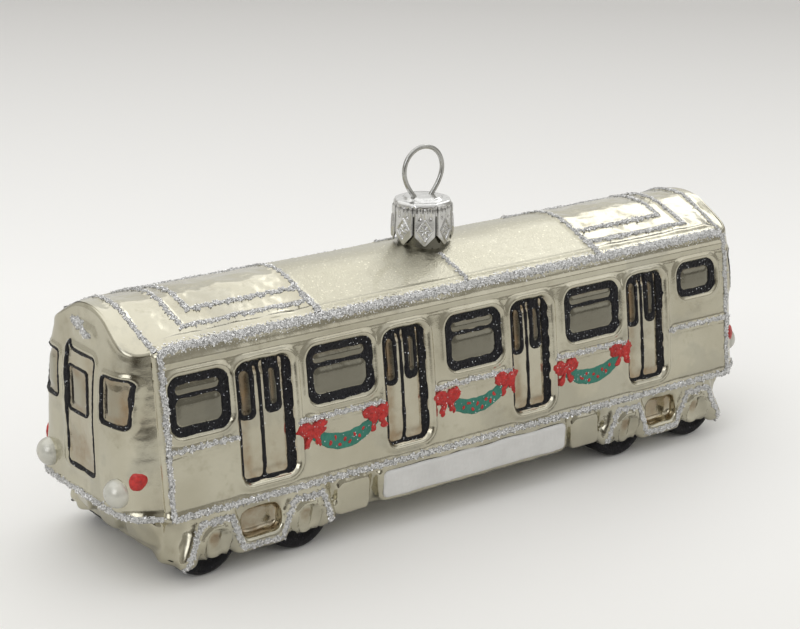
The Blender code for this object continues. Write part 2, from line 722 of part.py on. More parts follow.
def neck_top():
    return cap_bottom() + CAP_HEIGHT - CAP_TOP_WALL - CAP_SEAT_GAP


def cap_bottom():
    return ridge_height() + CAP_ROOF_GAP


def make_glass_body():
    body = hull("glass_body", 0)
    CUTTERS.objects.unlink(body)
    PARTS.objects.link(body)
    body.hide_render = False
    body.display_type = "TEXTURED"
    body.data.materials.append(SILVERED_GLASS)
    boolean(body, underframe("underframe", 0, SILL_HEIGHT + GLASS_WALL), "UNION")
    for side in (LEFT, RIGHT):
        skirt_details(body, side)
        trucks(body, side)
    swollen = underframe("swollen_underframe", BUMPER_PROUD, SILL_HEIGHT)
    for end in (FRONT, REAR):
        end_details(body, end, swollen)
    ribs(body)
    roof_panels(body)
    for side in (LEFT, RIGHT):
        side_relief(body, side)
    neck = cylinder("neck", NECK_DIAMETER / 2, ridge_height() - ROOF_RISE / 2, neck_top(), (NECK_X, 0), 32)
    boolean(body, neck, "UNION")
    cavity = hull("cavity", -GLASS_WALL, SILL_HEIGHT - GLASS_WALL)
    boolean(cavity, underframe("underframe_cavity", -GLASS_WALL, SILL_HEIGHT + GLASS_WALL), "UNION")
    boolean(body, cavity, "DIFFERENCE")
    bore = cylinder("neck_bore", NECK_BORE / 2, SILL_HEIGHT + SIDE_HEIGHT - CUT_OVERRUN,
                    neck_top() + CUT_OVERRUN, (NECK_X, 0), 32)
    boolean(body, bore, "DIFFERENCE")
    return body


def coat(blank, finish, outer, inner):
    """Keep the part of a blank that lies in the thin space over the glass."""
    CUTTERS.objects.unlink(blank)
    PARTS.objects.link(blank)
    blank.hide_render = False
    blank.display_type = "TEXTURED"
    blank.data.materials.append(finish)
    boolean(blank, outer, "INTERSECT")
    boolean(blank, inner, "DIFFERENCE")
    return blank


def glitter_lines(outer, inner):
    """Silver glitter along sill, corners, cant rails, roof lines and truck frames."""
    line = GLITTER_LINE
    cant = SILL_HEIGHT + SIDE_HEIGHT
    half_corner = CORNER_LENGTH / 2
    across = SILL_WIDTH
    top = ridge_height() + CUT_OVERRUN
    network = box("silver_glitter_lines", (-CORNER_LENGTH, -across, SILL_HEIGHT - line),
                  (CORNER_LENGTH, across, SILL_HEIGHT + line))
    pieces = []
    for end in (FRONT, REAR):
        near, far = sorted((end * (half_corner - line), end * (half_corner + line / 4)))
        pieces.append(box("corner_" + END_NAMES[end], (near, -across, SILL_HEIGHT), (far, across, cant)))
        near, far = sorted((0, end * (half_corner + line / 4)))
        pieces.append(box("cant_" + END_NAMES[end], (near, -across, cant - line / 2),
                          (far, across, cant + line / 3)))
        near, far = sorted((end * window_edge(end), end * (half_corner - line / 2)))
        belt = SILL_HEIGHT + BELT_HEIGHT
        pieces.append(box("belt_" + END_NAMES[end], (near, -across, belt - line / 2),
                          (far, across, belt + line / 2)))
        seam = ROOF_SEAM
        pieces.append(roof_box("roof_seam_" + END_NAMES[end], end, seam - line / 2, seam + line / 2,
                               CANT_WIDTH / 2, top))
        pieces.append(roof_end_line(end, top))
        for key in ("outer", "inner"):
            pieces.append(roof_line(end, key, top))
    for side in (LEFT, RIGHT):
        low, high = sorted((side * (CAP_DIAMETER / 2 + line), side * CANT_WIDTH / 2))
        pieces.append(box("middle_seam_" + SIDE_NAMES[side], (NECK_X - line, low, cant - line / 2),
                          (NECK_X, high, top)))
    for piece in pieces:
        boolean(network, piece, "UNION")
    return coat(network, SILVER_GLITTER, outer, inner)


def window_edge(end):
    """Inner edge of the short belt line at an end: the rim of the outermost door."""
    centre, width = door_places()[0 if end == FRONT else -1]
    return abs(centre) + width / 2 + LIP_WIDTH + 2 * COAT_THICKNESS


def roof_box(name, end, near, far, half_width, top):
    low, high = sorted((end * near, end * far))
    bottom = SILL_HEIGHT + SIDE_HEIGHT - GLITTER_LINE / 3
    return box(name, (low, -half_width, bottom), (high, half_width, top))


def roof_line(end, key, top):
    """U-shaped line that starts at the cross seam, as one filled outline."""
    far, half_width = roof_line_place(key)
    near = ROOF_SEAM
    path = [(end * near, -half_width), (end * far, -half_width), (end * far, half_width),
            (end * near, half_width)]
    outline = band(path, GLITTER_LINE)
    return extrude_outlines("roof_%s_%s" % (key, END_NAMES[end]), [outline], SILL_HEIGHT + SIDE_HEIGHT,
                            top, Matrix.Identity(4))


def roof_end_line(end, top):
    """Curved cross line where the roof starts to round down to an end."""
    crest = CORNER_LENGTH / 2 - ROOF_END_LINE_INSET
    path = []
    for step in range(END_STEPS + 1):
        share = 2 * step / END_STEPS - 1
        path.append((end * (crest + ROOF_END_LINE_BULGE * share ** 2), share * CANT_WIDTH / 2))
    return extrude_outlines("roof_end_" + END_NAMES[end], [band(path, GLITTER_LINE)],
                            SILL_HEIGHT + SIDE_HEIGHT, top, Matrix.Identity(4))


def truck_glitter(network, side):
    """Glitter on the raised W of both trucks, joined to the sill line above it."""
    face = TRUCK_WIDTH / 2 + TRUCK_BAND_PROUD
    shapes = []
    for end in (FRONT, REAR):
        centre = end * TRUCK_DISTANCE / 2
        shapes.append(shifted(band(truck_band_line(), TRUCK_BAND / 2), centre))
    name = "truck_glitter_" + SIDE_NAMES[side]
    low = face + COAT_GAP
    high = low + COAT_THICKNESS
    lines = extrude_outlines(name, shapes, low, high, skirt_frame(side))
    boolean(network, lines, "UNION")
    first, second = truck_band_line()[1:3]
    links = []
    for end in (FRONT, REAR):
        for hand in (FRONT, REAR):
            left, right = sorted((hand * first[0], hand * second[0]))
            corners = [(left, first[1]), (right, first[1]), (right, COAT_THICKNESS), (left, COAT_THICKNESS)]
            links.append(shifted(corners, end * TRUCK_DISTANCE / 2))
    tops = extrude_outlines("truck_glitter_tops_" + SIDE_NAMES[side], links, low, high, skirt_frame(side))
    boolean(network, tops, "UNION")


def belt_lines(side, outer, inner):
    """Separate glitter lines between neighbouring doors of one side."""
    places = door_places()
    rim = LIP_WIDTH + 2 * COAT_THICKNESS
    for number, (before, after) in enumerate(zip(places, places[1:]), 2):
        start = before[0] + before[1] / 2 + rim
        stop = after[0] - after[1] / 2 - rim
        low, high = sorted((side * SILL_WIDTH / 4, side * SILL_WIDTH))
        belt = SILL_HEIGHT + BELT_HEIGHT
        line = box("belt_glitter_%s_%d" % (SIDE_NAMES[side], number), (start, low, belt - GLITTER_LINE / 2),
                   (stop, high, belt + GLITTER_LINE / 2))
        coat(line, SILVER_GLITTER, outer, inner)


def window_frames(side):
    """Black frames with a transom bar in the window recesses of one side."""
    low = -WINDOW_DEPTH + COAT_GAP
    for number, (centre, bottom, width, height) in enumerate(window_places(), 1):
        middle = along_side(side, centre)
        outlines = [rounded_rectangle(middle, bottom, width, height, WINDOW_RADIUS)]
        inner_width = width - 2 * BLACK_LINE
        light = height - 2 * BLACK_LINE
        radius = WINDOW_RADIUS / 2
        if height < TRANSOM_SHARE * SIDE_HEIGHT:
            outlines.append(rounded_rectangle(middle, bottom + BLACK_LINE, inner_width, light, radius))
        else:
            upper = TRANSOM_DROP - BLACK_LINE
            lower = light - upper - BLACK_LINE
            outlines.append(rounded_rectangle(middle, bottom + BLACK_LINE, inner_width, lower, radius))
            transom = bottom + 2 * BLACK_LINE + lower
            outlines.append(rounded_rectangle(middle, transom, inner_width, upper, radius))
        name = "window_frame_%s_%d" % (SIDE_NAMES[side], number)
        extrude_outlines(name, outlines, low, low + COAT_THICKNESS, side_frame(side), BLACK_GLITTER)


def door_outlines(side):
    """Black outlines of both leaves with their tall panes, in the door recesses."""
    low = -DOOR_DEPTH + COAT_GAP
    for number, (centre, width) in enumerate(door_places(), 1):
        middle = along_side(side, centre)
        outlines = [rounded_rectangle(middle, DOOR_BOTTOM, width, DOOR_HEIGHT, DOOR_RADIUS)]
        leaf = (width - 3 * BLACK_LINE) / 2
        pane_bottom = DOOR_BOTTOM + DOOR_HEIGHT - DOOR_TOP_BAND - DOOR_GLASS_HEIGHT
        panel_bottom = DOOR_BOTTOM + BLACK_LINE
        panel_height = pane_bottom - BLACK_LINE - panel_bottom
        for hand in (LEFT, RIGHT):
            leaf_middle = middle + hand * (BLACK_LINE + leaf) / 2
            outlines.append(rounded_rectangle(leaf_middle, pane_bottom, DOOR_GLASS_WIDTH, DOOR_GLASS_HEIGHT,
                                              DOOR_GLASS_WIDTH / 3))
            outlines.append(rounded_rectangle(leaf_middle, panel_bottom, leaf, panel_height, END_RADIUS / 2))
        name = "door_outline_%s_%d" % (SIDE_NAMES[side], number)
        extrude_outlines(name, outlines, low, low + COAT_THICKNESS, side_frame(side), BLACK_GLITTER)


def end_outlines(end, outer, inner):
    """Thin black outlines of the end door and the two end windows."""
    line = THIN_BLACK_LINE
    name = END_NAMES[end]
    reach = END_BOW_AT_SILL + CUT_OVERRUN
    frame = end_frame(end)
    door = [inset_rectangle(0, END_DOOR_BOTTOM, END_DOOR_WIDTH, END_DOOR_HEIGHT, END_RADIUS, inset)
            for inset in (0, line)]
    blank = extrude_outlines("end_door_outline_" + name, door, -CUT_OVERRUN, reach, frame)
    top = END_DOOR_BOTTOM + END_DOOR_HEIGHT - END_DOOR_GLASS_TOP_GAP
    shift = (END_DOOR_GLASS_WIDTH - END_DOOR_WIDTH) / 2 + line / 2
    pane = [inset_rectangle(shift, top - END_DOOR_GLASS_HEIGHT, END_DOOR_GLASS_WIDTH,
                            END_DOOR_GLASS_HEIGHT, END_RADIUS, inset) for inset in (0, line)]
    ring = extrude_outlines("end_pane_" + name, pane, -CUT_OVERRUN / 2, reach - CUT_OVERRUN / 2, frame)
    boolean(blank, ring, "UNION")
    coat(blank, BLACK_GLITTER, outer, inner)
    for side in (LEFT, RIGHT):
        middle = end * side * END_WINDOW_SPREAD / 2
        window = [inset_rectangle(middle, END_WINDOW_BOTTOM, END_WINDOW_WIDTH, END_WINDOW_HEIGHT,
                                  END_RADIUS, inset) for inset in (0, line)]
        blank = extrude_outlines("end_window_outline_%s_%s" % (name, SIDE_NAMES[side]), window,
                                 -CUT_OVERRUN, reach, frame)
        coat(blank, BLACK_GLITTER, outer, inner)


def end_surface(height, across):
    """X of the rear end face at a height above the sill and a distance from the middle."""
    share = height / SIDE_HEIGHT
    reach = mix(SILL_WIDTH, CANT_WIDTH, share) / 2 - CORNER_RADIUS
    bow = mix(END_BOW_AT_SILL, END_BOW_AT_CANT, share)
    return CORNER_LENGTH / 2 + end_bulge(across / reach, bow)


def pearls(end, inner):
    """Half-sunk pearl beads on one end."""
    face = end_surface(PEARL_HEIGHT, PEARL_SPREAD / 2)
    for side in (LEFT, RIGHT):
        centre = (end * (face + PEARL_STAND_OFF), side * PEARL_SPREAD / 2, SILL_HEIGHT + PEARL_HEIGHT)
        name = "pearl_lamp_%s_%s" % (END_NAMES[end], SIDE_NAMES[side])
        mesh = mesh_of(name, lambda work: bmesh.ops.create_uvsphere(
            work, u_segments=16, v_segments=10, radius=PEARL_RADIUS))
        bead = add_object(name, mesh, Matrix.Translation(centre), PEARL)
        boolean(bead, inner, "DIFFERENCE")


def red_dots(end, outer, inner):
    """Round red lamps of paint at the outer edges of one end."""
    for side in (LEFT, RIGHT):
        name = "red_lamp_%s_%s" % (END_NAMES[end], SIDE_NAMES[side])
        middle = end * side * RED_DOT_SPREAD / 2
        disc = disc_outline(middle, RED_DOT_HEIGHT, RED_DOT_RADIUS)
        reach = END_BOW_AT_SILL + CUT_OVERRUN
        blank = extrude_outlines(name, [disc], -CUT_OVERRUN, reach, end_frame(end))
        coat(blank, RED_ENAMEL, outer, inner)


def crescent(start, stop, height):
    """Outline of a hanging garland between two places of a side's frame."""
    middle, half = (start + stop) / 2, (stop - start) / 2
    upper = []
    lower = []
    steps = 2 * CORNER_STEPS + 2
    for step in range(steps + 1):
        share = 2 * step / steps - 1
        drop = GARLAND_SAG * (1 - share ** 2)
        thickness = GARLAND_THICKNESS * (1 - GARLAND_TAPER_SHARE * share ** 2)
        upper.append((middle + share * half, height - drop + thickness / 2))
        lower.append((middle + share * half, height - drop - thickness / 2))
    return lower + upper[::-1]


def bow(centre, height, size):
    """Outline of a tied bow with two loops and two tails."""
    right = [(along * size, up * size) for along, up in BOW_SHARES]
    left = [(-along, up) for along, up in right[-2:0:-1]]
    return shifted(right + left, centre, height)


def garlands(side):
    """Painted garlands with a bow at each end, in the three bays between doors."""
    places = door_places()
    low = COAT_GAP
    high = low + COAT_THICKNESS
    rim = LIP_WIDTH + COAT_THICKNESS
    frame = side_frame(side)
    for number, (before, after) in enumerate(zip(places, places[1:]), 2):
        near = before[0] + before[1] / 2 + rim
        far = after[0] - after[1] / 2 - rim
        centre, free = (near + far) / 2, far - near
        half_span = GARLAND_SPAN_SHARE * free / 2
        start, stop = sorted(along_side(side, centre + hand * half_span) for hand in (LEFT, RIGHT))
        name = "garland_%s_%d" % (SIDE_NAMES[side], number)
        leaf = crescent(start, stop, GARLAND_HEIGHT)
        green = extrude_outlines(name, [leaf], low, high, frame, GREEN_ENAMEL)
        for tie, place in enumerate((start, stop), 1):
            outline = bow(place, GARLAND_HEIGHT, BOW_SIZE_SHARE * free)
            knot = extrude_outlines("%s_bow_%d" % (name, tie), [outline], low, high, frame)
            boolean(green, knot, "UNION")


def sign_panel(side):
    """Blank white panel on the sign board."""
    face = SILL_WIDTH / 2
    outline = rounded_rectangle(0, -SIGN_DROP - SIGN_HEIGHT / 2, SIGN_LENGTH, SIGN_HEIGHT, SIGN_BOARD_MARGIN)
    extrude_outlines("sign_panel_" + SIDE_NAMES[side], [outline], face + COAT_GAP,
                     face + COAT_GAP + SIGN_THICKNESS, skirt_frame(side), WHITE_ENAMEL)


def wheel_lobes(side):
    """Black wheel bottoms that show under the trucks and carry the ornament."""
    outer_face = WHEEL_FACE_WIDTH / 2
    ceiling = SILL_HEIGHT - TRUCK_DEPTH - COAT_GAP
    steps = WHEEL_STEPS
    first = math.asin(min(1, (WHEEL_RADIUS - ceiling) / WHEEL_RADIUS))
    for end in (FRONT, REAR):
        for number, axle in enumerate((FRONT, REAR), 1):
            centre = end * TRUCK_DISTANCE / 2 + axle * AXLE_DISTANCE / 2
            outline = []
            reach = math.pi / 2 - first
            count = steps // 4 + 1
            radius = WHEEL_RADIUS / math.cos(reach / count)
            for step in range(count + 1):
                angle = -math.pi / 2 + reach * (2 * step / count - 1)
                outline.append((centre + radius * math.cos(angle),
                                -SILL_HEIGHT + WHEEL_RADIUS + radius * math.sin(angle)))
            name = "wheel_%s_%s_%d" % (END_NAMES[end], SIDE_NAMES[side], number)
            points = [(along_side(side, x), y) for x, y in outline]
            extrude_outlines(name, [points], outer_face - WHEEL_THICKNESS, outer_face, skirt_frame(side),
                             BLACK_GLITTER)


def scalloped_outline(radius, depth):
    """Circle with one round lobe for each petal."""
    points = []
    steps = PETALS * 6
    for step in range(steps):
        turn = 2 * math.pi * step / steps
        lobe = radius - depth * (1 - abs(math.cos(PETALS * turn / 2)))
        angle = turn + PETAL_TURN
        points.append((lobe * math.cos(angle), lobe * math.sin(angle)))
    return points


def make_cap(axis):
    """Pressed metal crown cap with eight pointed petals."""
    bottom = cap_bottom()
    top = bottom + CAP_HEIGHT
    place = Matrix.Translation((NECK_X, 0, 0))
    outline = scalloped_outline(CAP_DIAMETER / 2, FLUTE_DEPTH)
    cap = extrude_outlines("crown_cap", [outline], bottom, top, place, SILVER_CAP)
    cap_origin_to_axis(cap)
    boss = cylinder("cap_boss", CAP_BOSS_DIAMETER / 2, top - CAP_TOP_WALL / 2, top + CAP_BOSS_HEIGHT,
                    (NECK_X, 0), 24)
    boolean(cap, boss, "UNION")
    bore = cylinder("cap_bore", CAP_BORE / 2, bottom - CUT_OVERRUN, top - CAP_TOP_WALL, (NECK_X, 0), 48)
    boolean(cap, bore, "DIFFERENCE")
    petal_notches(cap, bottom)
    boolean(cap, wire_holes(top), "DIFFERENCE")
    cap.parent = axis
    cap.matrix_parent_inverse = axis.matrix_world.inverted()
    return cap


def cap_origin_to_axis(cap):
    """Move the extruded blank's middle height into its mesh, so that its origin is on the axis."""
    lift = Matrix.Translation((0, 0, cap.matrix_world.translation.z))
    cap.data.transform(lift)
    cap.matrix_world = Matrix.Translation((NECK_X, 0, 0))


def petal_notches(cap, bottom):
    """Slits between the petals that open into points below."""
    pitch = math.pi * CAP_DIAMETER / PETALS
    low = bottom - CAP_TOP_WALL
    outline = mirrored([(-pitch / 2, low), (-pitch / 2, bottom), (-PETAL_SLIT / 2, bottom + PETAL_POINT),
                        (-PETAL_SLIT / 2, bottom + PETAL_SLIT_HEIGHT)])
    for petal in range(PETALS):
        angle = PETAL_TURN + (petal + 0.5) * 2 * math.pi / PETALS
        turn = Matrix.Rotation(angle + math.pi / 2, 4, "Z")
        frame = Matrix.Translation((NECK_X, 0, 0)) @ turn @ Matrix.Rotation(math.pi / 2, 4, "X")
        notch = extrude_outlines("petal_notch_%d" % (petal + 1), [outline], CAP_BORE / 2 - CAP_TOP_WALL,
                                 CAP_DIAMETER / 2 + CUT_OVERRUN, frame)
        boolean(cap, notch, "DIFFERENCE")


def wire_holes(top):
    """The two holes that the wire's legs pass through."""
    def build(work):
        for hand in (LEFT, RIGHT):
            place = Matrix.Translation((NECK_X + hand * LEG_DISTANCE / 2, 0, top))
            bmesh.ops.create_cone(work, cap_ends=True, segments=12, radius1=WIRE_HOLE_DIAMETER / 2,
                                  radius2=WIRE_HOLE_DIAMETER / 2, depth=CUT_OVERRUN, matrix=place)
    return add_object("wire_holes", mesh_of("wire_holes", build))


def wire_path():
    """Middle line of the hanging wire, from one leg's foot over the loop to the other's."""
    plate = cap_bottom() + CAP_HEIGHT
    radius = (LOOP_WIDTH - WIRE_DIAMETER) / 2
    centre = plate + LOOP_HEIGHT - WIRE_DIAMETER / 2 - radius
    half_leg = LEG_DISTANCE / 2
    drop = centre - (plate + CAP_BOSS_HEIGHT)
    # A line from the leg's hole that touches the loop's circle
    distance = math.hypot(half_leg, drop)
    touch = math.atan2(-drop, half_leg) + math.acos(min(1, radius / distance))
    half = [(LEG_SPREAD / 2, plate - CAP_TOP_WALL - LEG_LENGTH), (half_leg, plate - CAP_TOP_WALL),
            (half_leg, plate + CAP_BOSS_HEIGHT)]
    # The last step stops half a step short, so that the top of the loop has a level stretch
    steps = 4 * CORNER_STEPS
    for step in range(steps):
        angle = mix(touch, math.pi / 2, step / (steps - 0.5))
        half.append((radius * math.cos(angle), centre + radius * math.sin(angle)))
    return half + [(-x, z) for x, z in reversed(half)]


def make_wire(axis):
    curve = bpy.data.curves.new("hanger_wire", "CURVE")
    curve.dimensions = "3D"
    curve.bevel_depth = WIRE_DIAMETER / 2
    curve.bevel_resolution = WIRE_SIDES // 2 - 2
    curve.use_fill_caps = True
    spline = curve.splines.new("POLY")
    path = wire_path()
    spline.points.add(len(path) - 1)
    for point, (x, z) in zip(spline.points, path):
        point.co = (x, 0, z, 1)
        point.tilt = math.pi / WIRE_SIDES
    loop = bpy.data.objects.new("hanger_wire", curve)
    CUTTERS.objects.link(loop)
    loop.matrix_world = Matrix.Translation((NECK_X, 0, 0))
    wire = curve_to_mesh(loop, STEEL_WIRE)
    wire.parent = axis
    wire.matrix_parent_inverse = axis.matrix_world.inverted()


def main():
    make_glass_body()
    outer = hull("coat_outside", COAT_GAP + COAT_THICKNESS, SILL_HEIGHT - COAT_THICKNESS)
    inner = hull("coat_inside", COAT_GAP, SILL_HEIGHT - CUT_OVERRUN)
    network = glitter_lines(outer, inner)
    for side in (LEFT, RIGHT):
        truck_glitter(network, side)
        belt_lines(side, outer, inner)
        window_frames(side)
        door_outlines(side)
        garlands(side)
        sign_panel(side)
        wheel_lobes(side)
    for end in (FRONT, REAR):
        end_outlines(end, outer, inner)
        pearls(end, inner)
        red_dots(end, outer, inner)
    axis = bpy.data.objects.new("hanger_axis", None)
    PARTS.objects.link(axis)
    axis.location = (NECK_X, 0, cap_bottom())
    bpy.context.view_layer.update()
    make_cap(axis)
    make_wire(axis)


main()
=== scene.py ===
"""Looks of the blown glass metro car ornament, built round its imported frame.

Shapes are worked out in millimetres: x along the car, y across it, z above the sill. `place`
turns them into metres above the floor. On a side wall, t runs up the wall. On an end wall, u
runs across it, to the right as seen from outside, and v is the height above the sill.
"""

import math
from functools import partial

import bmesh
import bpy
import numpy as np
from mathutils import Matrix, Vector
from mathutils.bvhtree import BVHTree


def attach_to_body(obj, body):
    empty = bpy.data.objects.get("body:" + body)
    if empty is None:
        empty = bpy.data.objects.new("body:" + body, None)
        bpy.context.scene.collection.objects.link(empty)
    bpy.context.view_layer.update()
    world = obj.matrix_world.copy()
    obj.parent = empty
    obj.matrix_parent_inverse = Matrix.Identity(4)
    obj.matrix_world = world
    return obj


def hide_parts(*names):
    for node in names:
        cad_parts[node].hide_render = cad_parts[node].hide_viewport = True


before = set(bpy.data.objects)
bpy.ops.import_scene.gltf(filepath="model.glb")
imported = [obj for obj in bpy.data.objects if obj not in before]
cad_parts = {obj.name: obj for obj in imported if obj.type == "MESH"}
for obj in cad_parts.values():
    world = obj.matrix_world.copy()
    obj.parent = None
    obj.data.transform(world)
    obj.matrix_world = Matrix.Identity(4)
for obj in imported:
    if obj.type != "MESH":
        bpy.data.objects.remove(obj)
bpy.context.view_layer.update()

# The glass
SILL = 11.4
SIDE = 26.6
HALF_CORNER = 60.0
HALF_SILL = 17.4
HALF_CANT = 14.1
BOW = 5.0
BOW_POWER = 8
CORNER = 1.2
RISE = 5.0
RIDGE = 14.0
HIP = 1.8
END_LEAN = 1.8
EAVE_ROUND = 1.0
BELT = 10.8
NECK_X = 1.0
LEAN = math.atan2(HALF_SILL - HALF_CANT, SIDE)
SLOPE = math.atan2(RISE, HALF_CANT)
CREST = SIDE + RISE - RIDGE * (1 / math.cos(SLOPE) - 1)

# Roof lines: distance of the cross seam, and closing stretch and sides of each U
SEAM = 29.5
OUTER_LINE = (52.8, 10.3)
INNER_LINE = (49.7, 6.8)
END_LINE = 59.9

# Side doors: centre and width. Side windows: centre, bottom, width and height
DOORS = [(-41.2, 10.0), (-14.04, 8.4), (12.54, 8.2), (39.18, 8.5)]
DOOR_BOTTOM, DOOR_TOP, DOOR_RADIUS = 3.0, 21.9, 1.7
WINDOWS = [(-53.04, 13.0, 10.4, 9.0), (-26.88, 13.0, 12.5, 9.0), (0.24, 13.0, 11.5, 9.0),
           (26.58, 13.0, 12.2, 9.0), (51.78, 16.25, 9.2, 5.93)]
WINDOW_RADIUS = 2.0
TALL_WINDOW = 7.0

# Each end: centre, middle height, width and height of door, its pane and a window
END_DOOR = (0.0, 13.7, 8.4, 18.8)
END_PANE = (-0.85, 16.9, 5.9, 7.2)
END_WINDOW = (9.5, 18.0, 5.6, 7.3)
PEARL_PLACE = (10.6, 3.8)
RED_PLACE = (13.6, 6.2)

# Garlands: left bow, right bow and lowest point of the lower edge
GARLANDS = [((-33.2, 8.8), (-20.5, 9.0), 4.6), ((-6.1, 8.5), (6.8, 9.2), 4.8),
            ((19.9, 8.4), (33.0, 9.1), 4.7)]
BERRIES = [(0.26, -0.3), (0.34, 0.5), (0.40, -0.55), (0.48, 0.25), (0.55, -0.5), (0.63, 0.4),
           (0.70, -0.3), (0.76, 0.45)]

# Glitter between the doors: start and end of each belt line
BELTS = [(-59.3, -47.2), (-35.4, -19.5), (-8.6, 7.2), (17.9, 33.7), (44.7, 59.3)]

# Trucks and wheels. A tyre's profile has radius and distance from the car's middle plane
TRUCK = 43.0
AXLE = 8.5
AXLES = [-TRUCK - AXLE, -TRUCK + AXLE, TRUCK - AXLE, TRUCK + AXLE]
TRUCK_LINE = [(-13.1, -7.1), (-11.3, -1.6), (-5.9, -1.6), (-3.6, -7.3), (3.6, -7.3), (5.9, -1.6),
              (11.3, -1.6), (14.3, -8.4)]
WHEEL_RADIUS = 6.25
WHEEL_TOP = 3.8
TYRE = [(0.6, 9.4), (5.4, 9.4), (6.1, 9.8), (WHEEL_RADIUS, 10.5), (6.2, 14.4), (6.0, 15.2), (5.5, 15.6),
        (4.7, 15.5), (4.4, 15.1), (0.6, 15.1)]

# Cap and wire
CAP_BOTTOM = CREST + 0.1
CAP_HEIGHT = 7.2
CAP_RADIUS = 5.2
PETALS = 8
PETAL_TURN = math.radians(12.5)
NECK = [(4.3, CREST - 1.8), (4.25, CREST + 0.1), (4.2, CREST + 0.6), (4.2, 36.3), (3.9, 37.0), (3.2, 37.0)]
LOOP_WIDTH, LOOP_TOP, LEG = 4.0, 3.9, 1.75

# Counts of the large meshes, and the grain of the remeshed glass and of paint and glitter
SIDE_STEPS, END_STEPS, CORNER_STEPS = 350, 120, 5
WALL_ROWS, EAVE_ROWS = 86, 11
ROOF_ROWS, ROOF_STEPS = 380, 110
VOXEL = 0.42
PAINT_STEP, GLITTER_STEP = 0.13, 0.185

MM = 0.001
FAR = 1e9

LEFT, RIGHT = -1, 1
FRONT, REAR = -1, 1
SIDE_NAMES = {LEFT: "left", RIGHT: "right"}
END_NAMES = {FRONT: "front", REAR: "rear"}


def smooth(x):
    """A soft step from 0 to 1."""
    x = np.clip(x, 0.0, 1.0)
    return x * x * (3 - 2 * x)


def bump(x):
    """A round hill, 1 in the middle and 0 from |x| = 1 on."""
    return np.where(np.abs(x) < 1, 0.5 + 0.5 * np.cos(np.pi * np.clip(x, -1, 1)), 0.0)


def rounded(u, v, cu, cv, width, height, radius):
    """Signed distance to a rounded rectangle, negative inside."""
    qu = np.abs(u - cu) - (width / 2 - radius)
    qv = np.abs(v - cv) - (height / 2 - radius)
    return np.hypot(np.maximum(qu, 0), np.maximum(qv, 0)) + np.minimum(np.maximum(qu, qv), 0) - radius


def slab(u, v, left, right, low, high, radius):
    """The same for a rectangle given by its edges."""
    return rounded(u, v, (left + right) / 2, (low + high) / 2, right - left, high - low, radius)


def polyline(u, v, points):
    """Distance to a line of points."""
    best = np.full(np.shape(u), FAR)
    for (au, av), (bu, bv) in zip(points, points[1:]):
        du, dv = bu - au, bv - av
        share = np.clip(((u - au) * du + (v - av) * dv) / (du * du + dv * dv), 0, 1)
        best = np.minimum(best, np.hypot(u - au - share * du, v - av - share * dv))
    return best


def ellipse(u, v, cu, cv, ru, rv, turn=0.0):
    """Rough signed distance to a turned ellipse."""
    c, s = math.cos(turn), math.sin(turn)
    a, b = (u - cu) * c + (v - cv) * s, (v - cv) * c - (u - cu) * s
    return (np.hypot(a / ru, b / rv) - 1) * min(ru, rv)


def nearest(distances):
    """The smallest of several distances."""
    return np.minimum.reduce(list(distances))


def circle(steps):
    """Angles of one full turn."""
    return np.arange(steps) * 2 * math.pi / steps


def unit(vectors):
    return vectors / np.linalg.norm(vectors, axis=-1, keepdims=True)


def waves(u, v, size, seed, count=9):
    """Smooth even noise between about -1 and 1, with features of a size."""
    rng = np.random.default_rng(seed)
    total = np.zeros(np.broadcast(u, v).shape)
    for _ in range(count):
        angle, phase = rng.uniform(0, 2 * math.pi), rng.uniform(0, 2 * math.pi)
        turns = (u * math.cos(angle) + v * math.sin(angle)) / (size * rng.uniform(0.6, 1.6))
        total += np.sin(turns * 2 * math.pi + phase)
    return total / math.sqrt(count)


def half_width(z):
    """Half the body's width at a height above the sill."""
    return HALF_SILL + (HALF_CANT - HALF_SILL) * z / SIDE


def bulge(share):
    """How far an end stands out at a share of its half width."""
    return BOW * (1 - np.clip(np.abs(share), 0, 1) ** BOW_POWER)


def hip(x, y):
    """How far the roof sinks towards its four corners."""
    return HIP * smooth((np.abs(x) - 56) / 7) * smooth((np.abs(y) - 3) / 10)


def inset(share, z):
    """How far the upper part of an end leans back."""
    return END_LEAN * smooth((z - 19) / 12) * (1 - np.clip(np.abs(share), 0, 1) ** 6)


def roof_height(x, y):
    """Height of the roof above the sill, without relief."""
    across = np.abs(y)
    flat = SIDE + (HALF_CANT - across) * math.tan(SLOPE)
    arc = CREST - RIDGE + np.sqrt(np.maximum(RIDGE ** 2 - y * y, 0.01))
    return np.where(across < RIDGE * math.sin(SLOPE), arc, flat) - hip(x, y)


def roof_end(x, y):
    """How far a place of the roof is past the glitter line at its end."""
    return np.abs(x) - END_LINE + 0.6 * (y / HALF_CANT) ** 2


